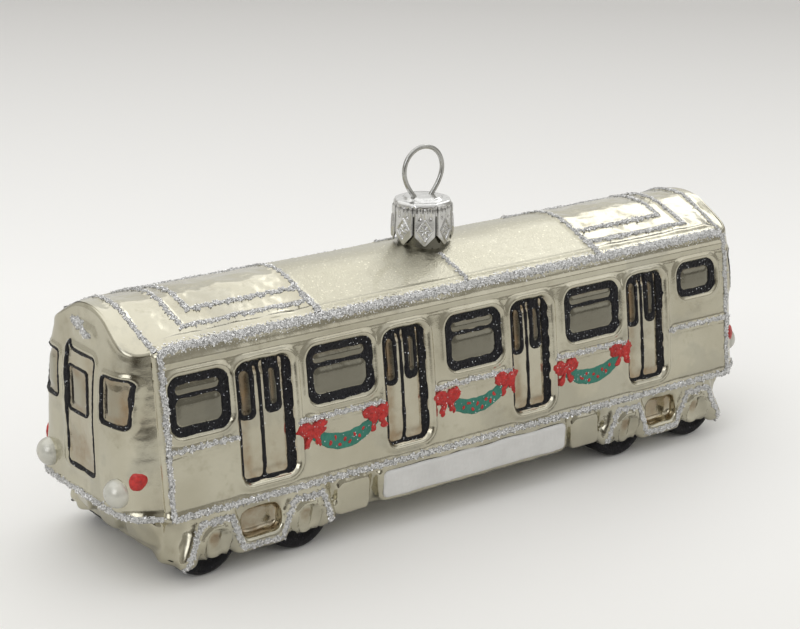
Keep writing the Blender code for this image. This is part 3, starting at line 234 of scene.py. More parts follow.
def roof_relief(x, y):
    """Raised lines, seams, panels and crinkles of the roof."""
    ax, ay = np.abs(x), np.abs(y)
    bay = smooth((ax - SEAM) / 0.8)
    outer, inner = past_u(x, y, *OUTER_LINE), past_u(x, y, *INNER_LINE)
    rise = 0.25 * bump((ax - SEAM) / 1.1) + 0.22 * bump((x - 0.4) / 1.0) * smooth((ay - 4) / 2)
    rise += bay * (0.2 * bump(outer / 0.9) + 0.2 * bump(inner / 0.9))
    rise += bay * (0.2 * smooth(-inner / 1.2) - 0.1 * smooth(-outer / 1.0))
    rise += 0.22 * bump(roof_end(x, y)) + 0.2 * bump((ay - 12.2) / 0.8)
    crinkle = 0.055 * waves(x, y, 4.5, 12) + 0.022 * waves(x, y, 1.7, 13)
    rise += 0.05 * waves(x, y, 14.0, 11) + bay * crinkle
    share = y / (HALF_CANT - CORNER)
    edge = np.minimum(HALF_CANT - ay, HALF_CORNER + bulge(share) - inset(share, 30.0) - ax) - 0.9
    return rise * smooth(edge / 1.2)


def door_shape(x, t, centre, width, grow=0.0):
    half = width / 2 + grow
    return slab(x, t, centre - half, centre + half, DOOR_BOTTOM - grow, DOOR_TOP + grow, DOOR_RADIUS + grow)


def door_panes(x, t, centre, width):
    """Distance to the two tall panes of a side door and to the black rings round them."""
    half = width / 2
    left = slab(x, t, centre - 0.86 * half, centre - 0.54 * half, 13.7, 20.6, 0.7)
    right = slab(x, t, centre + 0.17 * half, centre + 0.41 * half, 14.6, 20.3, 0.55)
    ring = np.minimum(slab(x, t, centre - half, centre - 0.35 * half, 12.8, 23.0, 1.3),
                      slab(x, t, centre - 0.02 * half, centre + 0.61 * half, 13.2, 23.0, 1.2))
    return np.minimum(left, right), ring


def window_shape(x, t, window, grow=0.0):
    centre, bottom, width, height = window
    return rounded(x, t, centre, bottom + height / 2, width + grow, height + grow, WINDOW_RADIUS)


def window_panes(x, t, window):
    """Distance to the panes of a side window."""
    centre, bottom, width, height = window
    if height < TALL_WINDOW:
        return rounded(x, t, centre, bottom + height / 2, width - 2.3, height - 2.3, 1.0)
    lower = rounded(x, t, centre, bottom + 3.45, width - 2.3, height - 4.7, 1.2)
    upper = rounded(x, t, centre, bottom + 7.05, width - 2.6, 1.5, 0.7)
    return np.minimum(lower, upper)


def side_relief(x, t):
    """Relief of a side wall: lips, recesses, bulging panes, ribs and belt line."""
    shapes = [door_shape(x, t, *door) for door in DOORS] + [window_shape(x, t, window) for window in WINDOWS]
    rise = 0.35 * (1 - (2 * t / SIDE - 1) ** 2)
    for d, door in zip(shapes, DOORS):
        panes, ring = door_panes(x, t, *door)
        rise += 0.42 * bump((d - 0.85) / 0.8) - 0.7 * smooth((0.35 - d) / 0.5) + 0.12 * smooth(-ring / 0.6)
        rise += 0.25 * smooth((-d - 1.2) / 1.0) - 0.25 * smooth(-panes / 0.4)
    for d, window in zip(shapes[len(DOORS):], WINDOWS):
        rise += 0.32 * bump((d - 0.75) / 0.7) - 0.42 * smooth((0.3 - d) / 0.5)
        rise += 0.24 * smooth((0.2 - window_panes(x, t, window)) / 1.2)
    free = smooth((nearest(shapes) - 1.6) / 0.5)
    rise += 0.2 * bump((t - 24.4) / 0.7) - 0.14 * bump((t - 23.5) / 0.4) + 0.35 * bump((t - 0.3) / 1.4)
    rise += free * (0.14 * bump((t - 9.5) / 0.4) + 0.25 * bump((t - BELT) / 1.0))
    rise += free * (0.05 * waves(x, t, 17.0, 21) + 0.012 * waves(x, t, 5.0, 22))
    rise += 0.004 * waves(x, t, 2.0, 23)
    return rise * smooth((SIDE - 0.3 - t) / 1.2)


def side_glazing(x, t):
    """How much of a place on a side wall is window pane."""
    doors = nearest(door_panes(x, t, *door)[0] for door in DOORS)
    windows = nearest(window_panes(x, t, window) for window in WINDOWS)
    return np.maximum(smooth((0.4 - doors) / 0.3), 0.8 * smooth((0.3 - windows) / 0.3))


def end_shapes(u, v):
    """Distances to the door, its pane and the nearer window of an end wall."""
    door = rounded(u, v, *END_DOOR, 0.9)
    pane = rounded(u, v, *END_PANE, 0.8)
    window = rounded(np.abs(u), v, *END_WINDOW, 0.8)
    return door, pane, window


def end_relief(u, v):
    """Relief of an end wall."""
    door, pane, window = end_shapes(u, v)
    rise = 0.22 * bump((door - 0.6) / 0.7) - 0.2 * smooth((0.2 - door) / 0.6)
    rise += -0.2 * smooth((0.1 - pane) / 0.6) + 0.2 * smooth((-0.8 - pane) / 1.2)
    rise += 0.2 * bump((window - 0.5) / 0.6) - 0.3 * smooth((0.2 - window) / 0.5)
    rise += 0.22 * smooth((-0.8 - window) / 1.2)
    rise += 0.3 * bump(np.hypot(np.abs(u) - PEARL_PLACE[0], v - PEARL_PLACE[1]) / 3.4)
    rise += 0.25 * smooth((0.5 - rounded(u, v, 0, 26.4, 7.0, 2.6, 1.2)) / 1.2)
    rise += 0.35 * bump((v - 0.3) / 1.4)
    rise += 0.10 * waves(u, v, 14.0, 31) + 0.03 * waves(u, v, 5.0, 32) + 0.008 * waves(u, v, 2.0, 33)
    return rise


def end_glazing(u, v):
    return 0.35 * smooth(-np.minimum(*end_shapes(u, v)[1:]) / 0.3)


def end_point(end, u, v, lift):
    """A point of an end wall."""
    half = half_width(v) - CORNER
    share = u / half
    slope = BOW * BOW_POWER * np.abs(share) ** (BOW_POWER - 1) * np.sign(share) / half
    long = np.sqrt(1 + slope ** 2)
    own = end_relief(u, v) + lift
    reach = HALF_CORNER + bulge(share) - inset(share, v) + own / long
    return np.stack((end * reach, end * (u + own * slope / long), v), -1)


def side_point(side, x, t, lift):
    """A point of a side wall."""
    own = side_relief(x, t) + lift
    y = HALF_SILL - t * math.sin(LEAN) + own * math.cos(LEAN)
    return np.stack((x, side * y, t * math.cos(LEAN) + own * math.sin(LEAN)), -1)


def roof_point(x, y, lift):
    """A point of the roof."""
    z = roof_height(x, y)
    slope_x = (roof_height(x + 0.1, y) - roof_height(x - 0.1, y)) / 0.2
    slope_y = (roof_height(x, y + 0.1) - roof_height(x, y - 0.1)) / 0.2
    long = np.sqrt(1 + slope_x ** 2 + slope_y ** 2)
    own = (roof_relief(x, y) + lift) / long
    return np.stack((x - slope_x * own, y - slope_y * own, z + own), -1)


def arc_steps(start, stop, s):
    """Inward and upward run of a rounded edge that turns between two angles, and its angle."""
    angle = np.clip(start - np.maximum(s, 0) / EAVE_ROUND, stop, None)
    past = np.maximum(s - (start - stop) * EAVE_ROUND, 0)
    before = np.minimum(s, 0)
    inward = EAVE_ROUND * (np.sin(start) - np.sin(angle)) + before * np.cos(start) + past * np.cos(stop)
    upward = EAVE_ROUND * (np.cos(angle) - np.cos(start)) + before * np.sin(start) + past * np.sin(stop)
    return inward, upward, angle


def eave_point(side, x, s, lift):
    """A point of the rounded edge over a side wall, s from the wall's top over the edge."""
    start = math.pi / 2 - LEAN
    below = EAVE_ROUND * math.tan((start - SLOPE) / 2)
    inward, upward, angle = arc_steps(start, SLOPE, s)
    y = HALF_CANT + below * math.sin(LEAN) - inward + lift * np.sin(angle)
    z = SIDE - hip(x, HALF_CANT) - below * math.cos(LEAN) + upward + lift * np.cos(angle)
    return np.stack((x, side * y, z), -1)


def place(points):
    """Millimetres above the sill to metres above the floor."""
    return (np.asarray(points, dtype=float) + (0, 0, SILL)) * MM


def link(name, mesh):
    made = bpy.data.objects.new(name, mesh)
    bpy.context.scene.collection.objects.link(made)
    return made


def cover(mesh, material, soft=True):
    """Give a mesh its one material, and soft or flat faces."""
    mesh.materials.clear()
    mesh.materials.append(material)
    mesh.polygons.foreach_set("use_smooth", [soft] * len(mesh.polygons))


def evaluated(made):
    """A new mesh of an object, with its modifiers or its bevel applied."""
    return bpy.data.meshes.new_from_object(made.evaluated_get(bpy.context.evaluated_depsgraph_get()))


def make_object(name, points, faces, material, soft=True):
    mesh = bpy.data.meshes.new(name)
    mesh.from_pydata(place(points).tolist(), [], [tuple(face) for face in faces])
    mesh.update()
    cover(mesh, material, soft)
    return link(name, mesh)


def attribute(made, **values):
    """Numbers for each vertex, read by the material."""
    for name, numbers in values.items():
        layer = made.data.attributes.new(name, "FLOAT", "POINT")
        filled = np.zeros(len(made.data.vertices), dtype=np.float32)
        filled[:] = np.ravel(numbers)
        layer.data.foreach_set("value", filled)


def make_grid(name, points, material, closed=True, flipped=False):
    """A piece from rows of points, each row a ring where it is closed."""
    rows, columns = points.shape[:2]
    steps = np.arange(columns if closed else columns - 1)
    start = np.arange(rows - 1)[:, None] * columns
    first, following = start + steps, start + (steps + 1) % columns
    faces = np.stack((first, following, following + columns, first + columns), -1).reshape(-1, 4)
    return make_object(name, points.reshape(-1, 3), faces[:, ::-1] if flipped else faces, material)


def outline_columns():
    """Columns of the walls' ring, from the front left corner round.

    Each has x, a share of the half width and an offset for y, its kind and its own place on the wall.
    """
    columns = []
    straight = HALF_CORNER - CORNER
    along = np.linspace(-straight, straight, SIDE_STEPS)
    shares = np.sin(np.linspace(-1, 1, END_STEPS) * math.pi / 2)
    arc = np.linspace(0, math.pi / 2, CORNER_STEPS + 2)[1:-1]
    for side, end in ((LEFT, REAR), (RIGHT, FRONT)):
        columns += [(x, side, 0, SIDE_NAMES[side], x) for x in along * end]
        columns += [(end * (straight + CORNER * math.sin(angle)), side,
                     side * CORNER * (math.cos(angle) - 1), "corner", 0) for angle in arc]
        columns += [(end * (HALF_CORNER + bulge(share)), share, -CORNER * share, END_NAMES[end], share)
                    for share in shares * end]
        columns += [(end * (straight + CORNER * math.cos(angle)), -side,
                     side * CORNER * (1 - math.sin(angle)), "corner", 0) for angle in arc]
    return columns


def top_edge(x, share, offset):
    """Height, outward direction, lean and roof slope at the walls' sharp top edge."""
    z = np.full(x.shape, SIDE)
    foot = x
    for _ in range(4):
        y = share * half_width(z) + offset
        x = foot - np.sign(foot) * inset(share, z)
        z = roof_height(x, y)
    out = unit(np.stack((np.roll(y, -1) - np.roll(y, 1), np.roll(x, 1) - np.roll(x, -1)), -1))
    lean = np.arctan(-out[:, 1] * share * (HALF_CANT - HALF_SILL) / SIDE)
    reach = 1.5
    slope = np.arctan((roof_height(x - reach * out[:, 0], y - reach * out[:, 1]) - z) / reach)
    return z, out, lean, slope


def make_walls():
    """Both sides and both ends as one ring, curled in under the sill and rounded over to the roof."""
    columns = outline_columns()
    kinds = np.array([column[3] for column in columns])
    x, share, offset, own = (np.array([column[i] for column in columns], dtype=float) for i in (0, 1, 2, 4))
    top_z, out, lean, slope = top_edge(x, share, offset)
    start = math.pi / 2 - lean
    stop_z = top_z - EAVE_ROUND * np.tan((start - slope) / 2) * np.sin(start)
    z = np.linspace(0, 1, WALL_ROWS)[:, None] * stop_z
    y = share * half_width(z) + offset
    points = np.stack((x - np.sign(x) * inset(share, z), y, z), -1)
    across = np.roll(points, -1, 1) - np.roll(points, 1, 1)
    normal = unit(np.cross(across, np.gradient(points, axis=0)))
    relief = 0.35 * bump((z - 0.3) / 1.4)
    glazed = np.zeros(z.shape)
    sides = (kinds == "left") | (kinds == "right")
    place_along, t = np.broadcast_to(own, z.shape)[:, sides], z[:, sides] / math.cos(LEAN)
    relief[:, sides] = side_relief(place_along, t)
    glazed[:, sides] = side_glazing(place_along, t)
    fade = smooth((stop_z - z) / 1.2)
    for end in (FRONT, REAR):
        mask = kinds == END_NAMES[end]
        relief[:, mask] = end_relief(end * y[:, mask], z[:, mask]) * fade[:, mask]
        glazed[:, mask] = end_glazing(end * y[:, mask], z[:, mask])
    points = points + normal * relief[..., None]
    inward = -np.concatenate((out, np.zeros((len(x), 1))), 1)
    curl = [points[0] + inward * depth - (0, 0, drop)
            for depth, drop in ((3.6, 0.1), (2.0, 0.35), (0.7, 0.3))]
    over = []
    for s in np.linspace(0, 1, EAVE_ROWS + 1)[1:]:
        run, rise, _ = arc_steps(start, slope, s * (start - slope) * EAVE_ROUND)
        over.append(points[-1] + inward * run[:, None] + np.stack((0 * rise, 0 * rise, rise), -1))
    points = np.concatenate((np.stack(curl), points, np.stack(over)))
    made = make_grid("glass_walls", points, GLASS)
    # The recess value is painted shade: the material darkens the glass brown where the relief sinks in.
    shade, glass = np.zeros(points.shape[:2]), np.zeros(points.shape[:2])
    wall = slice(len(curl), len(curl) + WALL_ROWS)
    shade[wall], glass[wall] = smooth(-relief / 0.5), glazed
    attribute(made, recess=shade, satin=0, glazed=glass)
    return made, over[-1]


def make_roof(border):
    """The roof between the rounded edges, its rim tucked just under them."""
    front = border[(border[:, 0] > HALF_CORNER - CORNER - 0.01) & (border[:, 1] > 0)]
    rim_x, rim_y, _ = front[np.argsort(front[:, 1])].T
    y = np.linspace(-1, 1, ROOF_STEPS) * (rim_y.max() + 0.12) + np.zeros((ROOF_ROWS, 1))
    reach = np.interp(np.abs(y), rim_y, np.maximum.accumulate(rim_x[::-1])[::-1]) + 0.12
    x = np.linspace(-1, 1, ROOF_ROWS)[:, None] * reach
    points = roof_point(x, y, 0.0)
    tuck = np.full(x.shape, 0.06)
    tuck[1:-1, 1:-1] = 0
    points[..., 2] -= tuck
    made = make_grid("glass_roof", points, GLASS, closed=False, flipped=True)
    attribute(made, recess=0, satin=smooth((SEAM + 0.5 - np.abs(x)) / 1.5), glazed=0)
    return made


def keep_one_shell(work):
    """Delete every loose shell but the one that reaches furthest along the car."""
    start = max(work.verts, key=lambda vertex: vertex.co.x)
    kept, stack = {start}, [start]
    while stack:
        here = stack.pop()
        fresh = [edge.other_vert(here) for edge in here.link_edges if edge.other_vert(here) not in kept]
        kept.update(fresh)
        stack += fresh
    loose = [vertex for vertex in work.verts if vertex not in kept]
    bmesh.ops.delete(work, geom=loose, context="VERTS")


def remesh_lower():
    """The CAD glass with its neck plugged and its edges softened, cut off above the sill."""
    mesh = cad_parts["glass_body"].data.copy()
    made = link("glass_underframe", mesh)
    work = bmesh.new()
    work.from_mesh(mesh)
    bmesh.ops.remove_doubles(work, verts=work.verts, dist=0.01 * MM)
    bmesh.ops.create_cone(work, cap_ends=True, segments=24, radius1=3.6 * MM, radius2=3.6 * MM, depth=9 * MM,
                          matrix=Matrix.Translation((NECK_X * MM, 0, 45 * MM)))
    work.to_mesh(mesh)
    work.free()
    remesh = made.modifiers.new("soften", "REMESH")
    remesh.mode = "VOXEL"
    remesh.voxel_size = VOXEL * MM
    made.data = evaluated(made)
    made.modifiers.clear()
    work = bmesh.new()
    work.from_mesh(made.data)
    keep_one_shell(work)
    bmesh.ops.bisect_plane(work, geom=work.verts[:] + work.edges[:] + work.faces[:],
                           plane_co=(0, 0, (SILL + 0.1) * MM), plane_no=(0, 0, 1), clear_outer=True)
    for _ in range(3):
        inner = [vertex for vertex in work.verts if not vertex.is_boundary]
        bmesh.ops.smooth_vert(work, verts=inner, factor=0.5, use_axis_x=True, use_axis_y=True,
                              use_axis_z=True)
    work.to_mesh(made.data)
    work.free()
    return made


def make_lower():
    """Underframe and trucks from the CAD glass, with bells over the axles and sagging hems."""
    made = remesh_lower()
    mesh = made.data
    co, nor = np.zeros((len(mesh.vertices), 3)), np.zeros((len(mesh.vertices), 3))
    mesh.vertices.foreach_get("co", co.ravel())
    mesh.vertices.foreach_get("normal", nor.ravel())
    co *= 1000
    x, y, drop = co[:, 0], np.abs(co[:, 1]), SILL - co[:, 2]
    lift = 0.06 * waves(x + co[:, 1], -drop - co[:, 1], 7.0, 41) + 0.015 * waves(x, drop, 2.2, 42)
    for centre in AXLES:
        bell = rounded(x, drop, centre, 5.0, 4.6, 4.6, 2.1)
        carved = 0.6 * bump(bell / 0.6) - 0.7 * smooth((-0.2 - bell) / 0.6)
        carved += 0.75 * bump(np.hypot(x - centre - 0.2, drop - 4.1) / 1.2)
        lift += carved * smooth((y - 14.5) / 1.5) * smooth((np.abs(nor[:, 1]) - 0.3) / 0.4)
    outer = smooth((np.abs(x) - TRUCK - 9) / 4) * smooth((drop - 2) / 5) * smooth((y - 9) / 4)
    outer *= smooth((62 - np.abs(x)) / 3)
    hem = bump((np.abs(np.abs(x) - TRUCK) - AXLE) / 4.2) * smooth((drop - 4) / 3) * smooth((y - 13) / 2)
    tuck = 2.4 * smooth((np.abs(x) - 57.6) / 4.4) * smooth((drop - 0.3) / 1.4)
    co += np.stack((np.sign(x) * (0.9 * outer - tuck), np.sign(co[:, 1]) * 0.5 * outer,
                    -np.maximum(outer, 1.6 * hem)), -1)
    mesh.vertices.foreach_set("co", ((co + nor * lift[:, None]) * MM).ravel())
    mesh.update()
    cover(mesh, GLASS)
    # Painted shade: the recess value darkens the truck pockets and the axle bosses brown.
    pocket = smooth((3.9 - np.abs(np.abs(x) - TRUCK)) / 1.0) * smooth((drop - 1.0) / 0.6)
    pocket *= smooth((7.0 - drop) / 0.6) * smooth((17.1 - y) / 0.6) * (y > 14.5)
    boss = nearest(np.hypot(x - centre, drop - 4.6) for centre in AXLES)
    pocket = np.maximum(pocket, smooth((1.1 - boss) / 0.6) * (y > 15))
    attribute(made, recess=pocket, satin=0, glazed=0)
    return made


def attach(made, node=None, body="ornament"):
    """Let a piece ride on a body and stand in for a CAD node."""
    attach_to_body(made, body)
    if node:
        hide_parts(node)
    return made


def paint(name, surface, bounds, distance, material, node=None, step=PAINT_STEP, thick=0.25,
          round_off=0.45, rough=0.0, seed=1):
    """A coat of paint: the region where distance is negative, draped on a surface with a rounded edge."""
    u0, u1, v0, v1 = bounds
    nu, nv = int((u1 - u0) / step) + 2, int((v1 - v0) / step) + 2
    u, v = np.meshgrid(np.linspace(u0, u1, nu), np.linspace(v0, v1, nv), indexing="ij")
    d = distance(u, v)
    inside = d < 0
    cell = inside[:-1, :-1] | inside[1:, :-1] | inside[:-1, 1:] | inside[1:, 1:]
    gu, gv = np.gradient(d, u[1, 0] - u[0, 0], v[0, 1] - v[0, 0])
    long = np.maximum(np.hypot(gu, gv), 0.3)
    pull = np.minimum(np.maximum(d, 0), 2 * step)
    u, v = u - gu / long * pull, v - gv / long * pull
    deep = np.clip(-d / round_off, 0, 1)
    height = thick * np.sqrt(1 - (1 - deep) ** 2) + rough * waves(u, v, 0.7, seed) * deep - 0.06 * (d >= 0)
    used = np.zeros(u.shape, dtype=bool)
    for a, b in ((0, 0), (1, 0), (0, 1), (1, 1)):
        used[a:u.shape[0] - 1 + a, b:u.shape[1] - 1 + b] |= cell
    index = np.full(u.shape, -1)
    index[used] = np.arange(used.sum())
    points = surface(u[used], v[used], height[used])
    corner = np.stack((index[:-1, :-1], index[1:, :-1], index[1:, 1:], index[:-1, 1:]), -1)[cell]
    first = corner[0]
    lifted = surface(*(grid[used][first[:1]] for grid in (u, v, height + 1.0)))[0]
    near, right, far = points[first[:3]]
    if np.dot(np.cross(right - near, far - near), lifted - near) < 0:
        corner = corner[:, ::-1]
    return attach(make_object(name, points, corner, material), node)


def flakes(name, surface, bounds, distance, material, per_mm2, size, lift, seed, tilt=0.42):
    """Small tilted six-sided flakes scattered over a mask."""
    rng = np.random.default_rng(seed)
    u0, u1, v0, v1 = bounds
    count = int((u1 - u0) * (v1 - v0) * per_mm2)
    u, v = rng.uniform(u0, u1, count), rng.uniform(v0, v1, count)
    keep = distance(u, v) < -0.04
    u, v = u[keep], v[keep]
    count = len(u)
    low = surface(u, v, np.full(count, lift))
    normal = unit(surface(u, v, np.full(count, lift + 1.0)) - low)
    normal = unit(normal + rng.normal(0, tilt, (count, 3)))
    axis = unit(np.cross(normal, rng.normal(0, 1, (count, 3))))
    other = np.cross(normal, axis)
    radius = size * rng.uniform(0.6, 1.25, count)[:, None]
    points = np.stack([low + (axis * math.cos(turn) + other * math.sin(turn)) * radius
                       for turn in circle(6)], 1)
    faces = np.arange(count * 6).reshape(-1, 6)
    attach(make_object(name, points.reshape(-1, 3), faces, material, soft=False))


class Nodes:
    """Short names for building the nodes of a material or of the world."""

    def __init__(self, owner, space="Object"):
        owner.use_nodes = True
        self.owner = owner
        self.tree = owner.node_tree
        self.coordinates = self.add("ShaderNodeTexCoord").outputs[space]

    def add(self, kind, **settings):
        node = self.tree.nodes.new(kind)
        for key, value in settings.items():
            setattr(node, key, value)
        return node

    def put(self, socket, item):
        """Link a socket, or set it to a number or a colour."""
        if isinstance(item, (int, float)):
            socket.default_value = item
        elif isinstance(item, tuple):
            socket.default_value = (*item, 1.0)
        else:
            self.tree.links.new(item, socket)

    def fill(self, node, **sockets):
        for key, item in sockets.items():
            self.put(node.inputs[key.replace("_", " ")], item)
        return node

    def set(self, **sockets):
        self.fill(self.tree.nodes["Principled BSDF"], **sockets)
        return self.owner

    def noise(self, scale, detail=3.0, roughness=0.5):
        node = self.fill(self.add("ShaderNodeTexNoise"), Scale=scale, Detail=detail, Roughness=roughness,
                         Vector=self.coordinates)
        return node.outputs["Fac"]

    def cells(self, scale):
        return self.fill(self.add("ShaderNodeTexVoronoi"), Scale=scale, Vector=self.coordinates)

    def value(self, name):
        return self.add("ShaderNodeAttribute", attribute_name=name).outputs["Fac"]

    def spread(self, value, low, high, to_low=0.0, to_high=1.0):
        """A value moved from one range to another and held there."""
        node = self.fill(self.add("ShaderNodeMapRange"), Value=value, From_Min=low, From_Max=high,
                         To_Min=to_low, To_Max=to_high)
        return node.outputs["Result"]

    def cloud(self, noise, low=0.3, high=0.7, to_low=0.0, to_high=1.0):
        """Noise of a scale, detail and roughness, spread out to a range."""
        return self.spread(self.noise(*noise), low, high, to_low, to_high)

    def math(self, operation, *values):
        node = self.add("ShaderNodeMath", operation=operation)
        for socket, item in zip(node.inputs, values):
            self.put(socket, item)
        return node.outputs["Value"]

    def product(self, first, second):
        return self.math("MULTIPLY", first, second)

    def mix(self, factor, first, second):
        node = self.add("ShaderNodeMix", data_type="RGBA")
        colours = [socket for socket in node.inputs if socket.type == "RGBA"]
        for socket, item in zip([node.inputs["Factor"]] + colours, (factor, first, second)):
            self.put(socket, item)
        return [socket for socket in node.outputs if socket.type == "RGBA"][0]

    def bump(self, height, strength, distance, **before):
        node = self.fill(self.add("ShaderNodeBump"), Height=height, Strength=strength, Distance=distance,
                         **before)
        return node.outputs["Normal"]


def material_nodes(name):
    return Nodes(bpy.data.materials.new(name))


def glass_material():
    """Silver lacquer under glass: champagne, satin in the roof's middle, dark panes, brown painted shade in
    the recesses, dark painted shade on the neck.
    """
    n = material_nodes("blown_silver_glass")
    tone = n.mix(n.cloud((70, 4, 0.55), 0.35, 0.68), (0.70, 0.67, 0.54), (0.58, 0.545, 0.425))
    tone = n.mix(n.cloud((46, 5, 0.62), 0.535, 0.575, 0.0, 0.3), tone, (0.43, 0.42, 0.36))
    tone = n.mix(n.cloud((260, 5, 0.7), 0.56, 0.70, 0.0, 0.45), tone, (0.42, 0.38, 0.28))
    satin = n.value("satin")
    tone = n.mix(n.product(satin, 0.85), tone, (0.57, 0.545, 0.43))
    spark = n.spread(n.cells(4200).outputs["Color"], 0.80, 0.95)
    tone = n.mix(n.product(satin, n.product(spark, 0.7)), tone, (0.95, 0.91, 0.74))
    # Dark panes, and the same dark tone over the whole neck as painted shade under the cap.
    tone = n.mix(n.product(n.value("glazed"), 0.9), tone, (0.10, 0.096, 0.075))
    # Painted shade: brown darkening where the recess value is high, broken up by noise.
    recess_shade = n.product(n.value("recess"), n.cloud((420, 3, 0.6), 0.35, 0.65, 0.25, 0.75))
    tone = n.mix(recess_shade, tone, (0.34, 0.22, 0.11))
    rough = n.math("ADD", n.cloud((900, 3, 0.6), 0.3, 0.7, 0.10, 0.22), n.product(satin, 0.20))
    grain = n.product(n.noise(3000, 2, 0.6), n.math("ADD", satin, 0.12))
    normal = n.bump(grain, 0.7, 0.00012, Normal=n.bump(n.noise(150), 0.3, 0.0004))
    return n.set(Base_Color=tone, Metallic=1.0, Roughness=rough, Normal=normal, Coat_Weight=0.5,
                 Coat_Roughness=0.05)


def glitter_material():
    """Silver glitter bed: crushed, with each grain its own tone."""
    n = material_nodes("silver_glitter_bed")
    cells = n.cells(5200)
    tone = n.mix(n.spread(cells.outputs["Color"], 0.25, 0.75), (0.46, 0.46, 0.45), (1.0, 1.0, 1.0))
    return n.set(Base_Color=tone, Metallic=0.3, Roughness=0.25,
                 Normal=n.bump(cells.outputs["Distance"], 1.0, 0.0003))


def flake_material(name, colour, roughness, metallic):
    n = material_nodes(name)
    tone = n.mix(n.cloud((1500, 1)), colour, tuple(min(1.0, part * 1.2) for part in colour))
    return n.set(Base_Color=tone, Metallic=metallic, Roughness=roughness)


def black_material():
    """Black glitter paint, thick and granular."""
    n = material_nodes("black_glitter_paint")
    cells = n.cells(5200)
    tone = n.mix(n.spread(cells.outputs["Color"], 0.88, 0.98), (0.006, 0.006, 0.010), (0.16, 0.16, 0.20))
    return n.set(Base_Color=tone, Roughness=n.cloud((1200,), 0.3, 0.7, 0.25, 0.5), Specular_IOR_Level=0.35,
                 Normal=n.bump(cells.outputs["Distance"], 1.0, 0.00025), Coat_Weight=0.15,
                 Coat_Roughness=0.15)


def enamel_material(name, colour, dark, roughness, scale, grain):
    """Brushed-on enamel with uneven cover."""
    n = material_nodes(name)
    return n.set(Base_Color=n.mix(n.cloud((scale, 4, 0.6)), colour, dark), Roughness=roughness,
                 Normal=n.bump(n.noise(scale * 2.2, 3, 0.6), grain, 0.00015), Coat_Weight=0.25,
                 Coat_Roughness=0.1)


def pearl_material():
    n = material_nodes("pearl_bead")
    tone = n.mix(n.cloud((260, 2)), (0.70, 0.685, 0.60), (0.60, 0.60, 0.545))
    return n.set(Base_Color=tone, Metallic=0.25, Roughness=0.25, Normal=n.bump(n.noise(900, 2), 0.15, 0.0001),
                 Coat_Weight=1.0, Coat_Roughness=0.06)


def metal_material(name, colour, roughness, scale):
    """Pressed or drawn metal, with near-black painted shade where the slit value is high."""
    n = material_nodes(name)
    tone = n.mix(n.cloud((scale, 3, 0.6)), colour, tuple(part * 0.82 for part in colour))
    return n.set(Base_Color=n.mix(n.value("slit"), tone, (0.03, 0.028, 0.025)), Metallic=1.0,
                 Roughness=n.cloud((scale * 2,), 0.3, 0.7, roughness * 0.7, roughness * 1.3),
                 Normal=n.bump(n.noise(scale * 4, 2), 0.15, 0.0001))


GLASS = glass_material()
GLITTER = glitter_material()
SILVER_FLAKE = flake_material("silver_flake", (0.98, 0.98, 0.98), 0.12, 0.4)
BLACK = black_material()
WHITE_FLAKE = flake_material("white_flake", (0.80, 0.83, 0.90), 0.2, 0.5)
GREEN = enamel_material("green_enamel_paint", (0.018, 0.165, 0.115), (0.028, 0.23, 0.165), 0.42, 420, 0.5)
RED = enamel_material("red_glitter_paint", (0.68, 0.035, 0.028), (0.36, 0.01, 0.01), 0.35, 1500, 1.0)
WHITE = enamel_material("white_enamel_paint", (0.74, 0.735, 0.72), (0.66, 0.655, 0.64), 0.32, 300, 0.3)
PEARL = pearl_material()
CAP = metal_material("stamped_cap", (0.90, 0.90, 0.89), 0.20, 700)
WIRE = metal_material("spring_wire", (0.60, 0.60, 0.58), 0.24, 900)


def wobble(u, v, seed, size=3.2, amount=0.05):
    return amount * waves(u, v, size, seed)


def around(centre, bottom, width, height, margin=0.6):
    reach = width / 2 + margin
    return centre - reach, centre + reach, bottom - margin, bottom + height + margin


def black_paint(coat, specks, node, surface, area, mask, seed, per_mm2=1.1, lift=0.32, thick=0.28,
                round_off=0.4, rough=0.05):
    """Black glitter paint with a few bright specks."""
    paint(coat, surface, area, mask, BLACK, node, thick=thick, round_off=round_off,
          rough=rough)
    flakes(specks, surface, area, mask, WHITE_FLAKE, per_mm2, 0.075, lift, seed)


def black_window(label, surface, number, window):
    """A painted frame with its transom bar."""
    def mask(u, v):
        frame_bars = np.maximum(window_shape(u, v, window, 0.3), -window_panes(u, v, window))
        return frame_bars + wobble(u, v, 100 + number)

    name = "window_frame_%s_%d" % (label, number)
    black_paint("paint_" + name, "specks_" + name, name, surface, around(*window), mask, 300 + number)


def black_door(label, surface, number, centre, width):
    """Both leaves: thin lines left and in the middle, a broad band right, and a ring round each pane."""
    half = width / 2
    low = DOOR_BOTTOM + 0.5

    def mask(u, v):
        panes, ring = door_panes(u, v, centre, width)
        left = slab(u, v, centre - half + 0.5, centre - 0.24 * half, low, 21.2, 0.6)
        right = slab(u, v, centre - 0.10 * half, centre + 0.71 * half, low, 21.7, 0.6)
        bare = np.minimum(panes, np.maximum(np.minimum(left, right), -ring))
        return np.maximum(door_shape(u, v, centre, width, 0.1), -bare) + wobble(u, v, 200 + number)

    name = "door_outline_%s_%d" % (label, number)
    area = around(centre, DOOR_BOTTOM, width, DOOR_TOP - DOOR_BOTTOM)
    black_paint("paint_" + name, "specks_" + name, name, surface, area, mask, 340 + number)


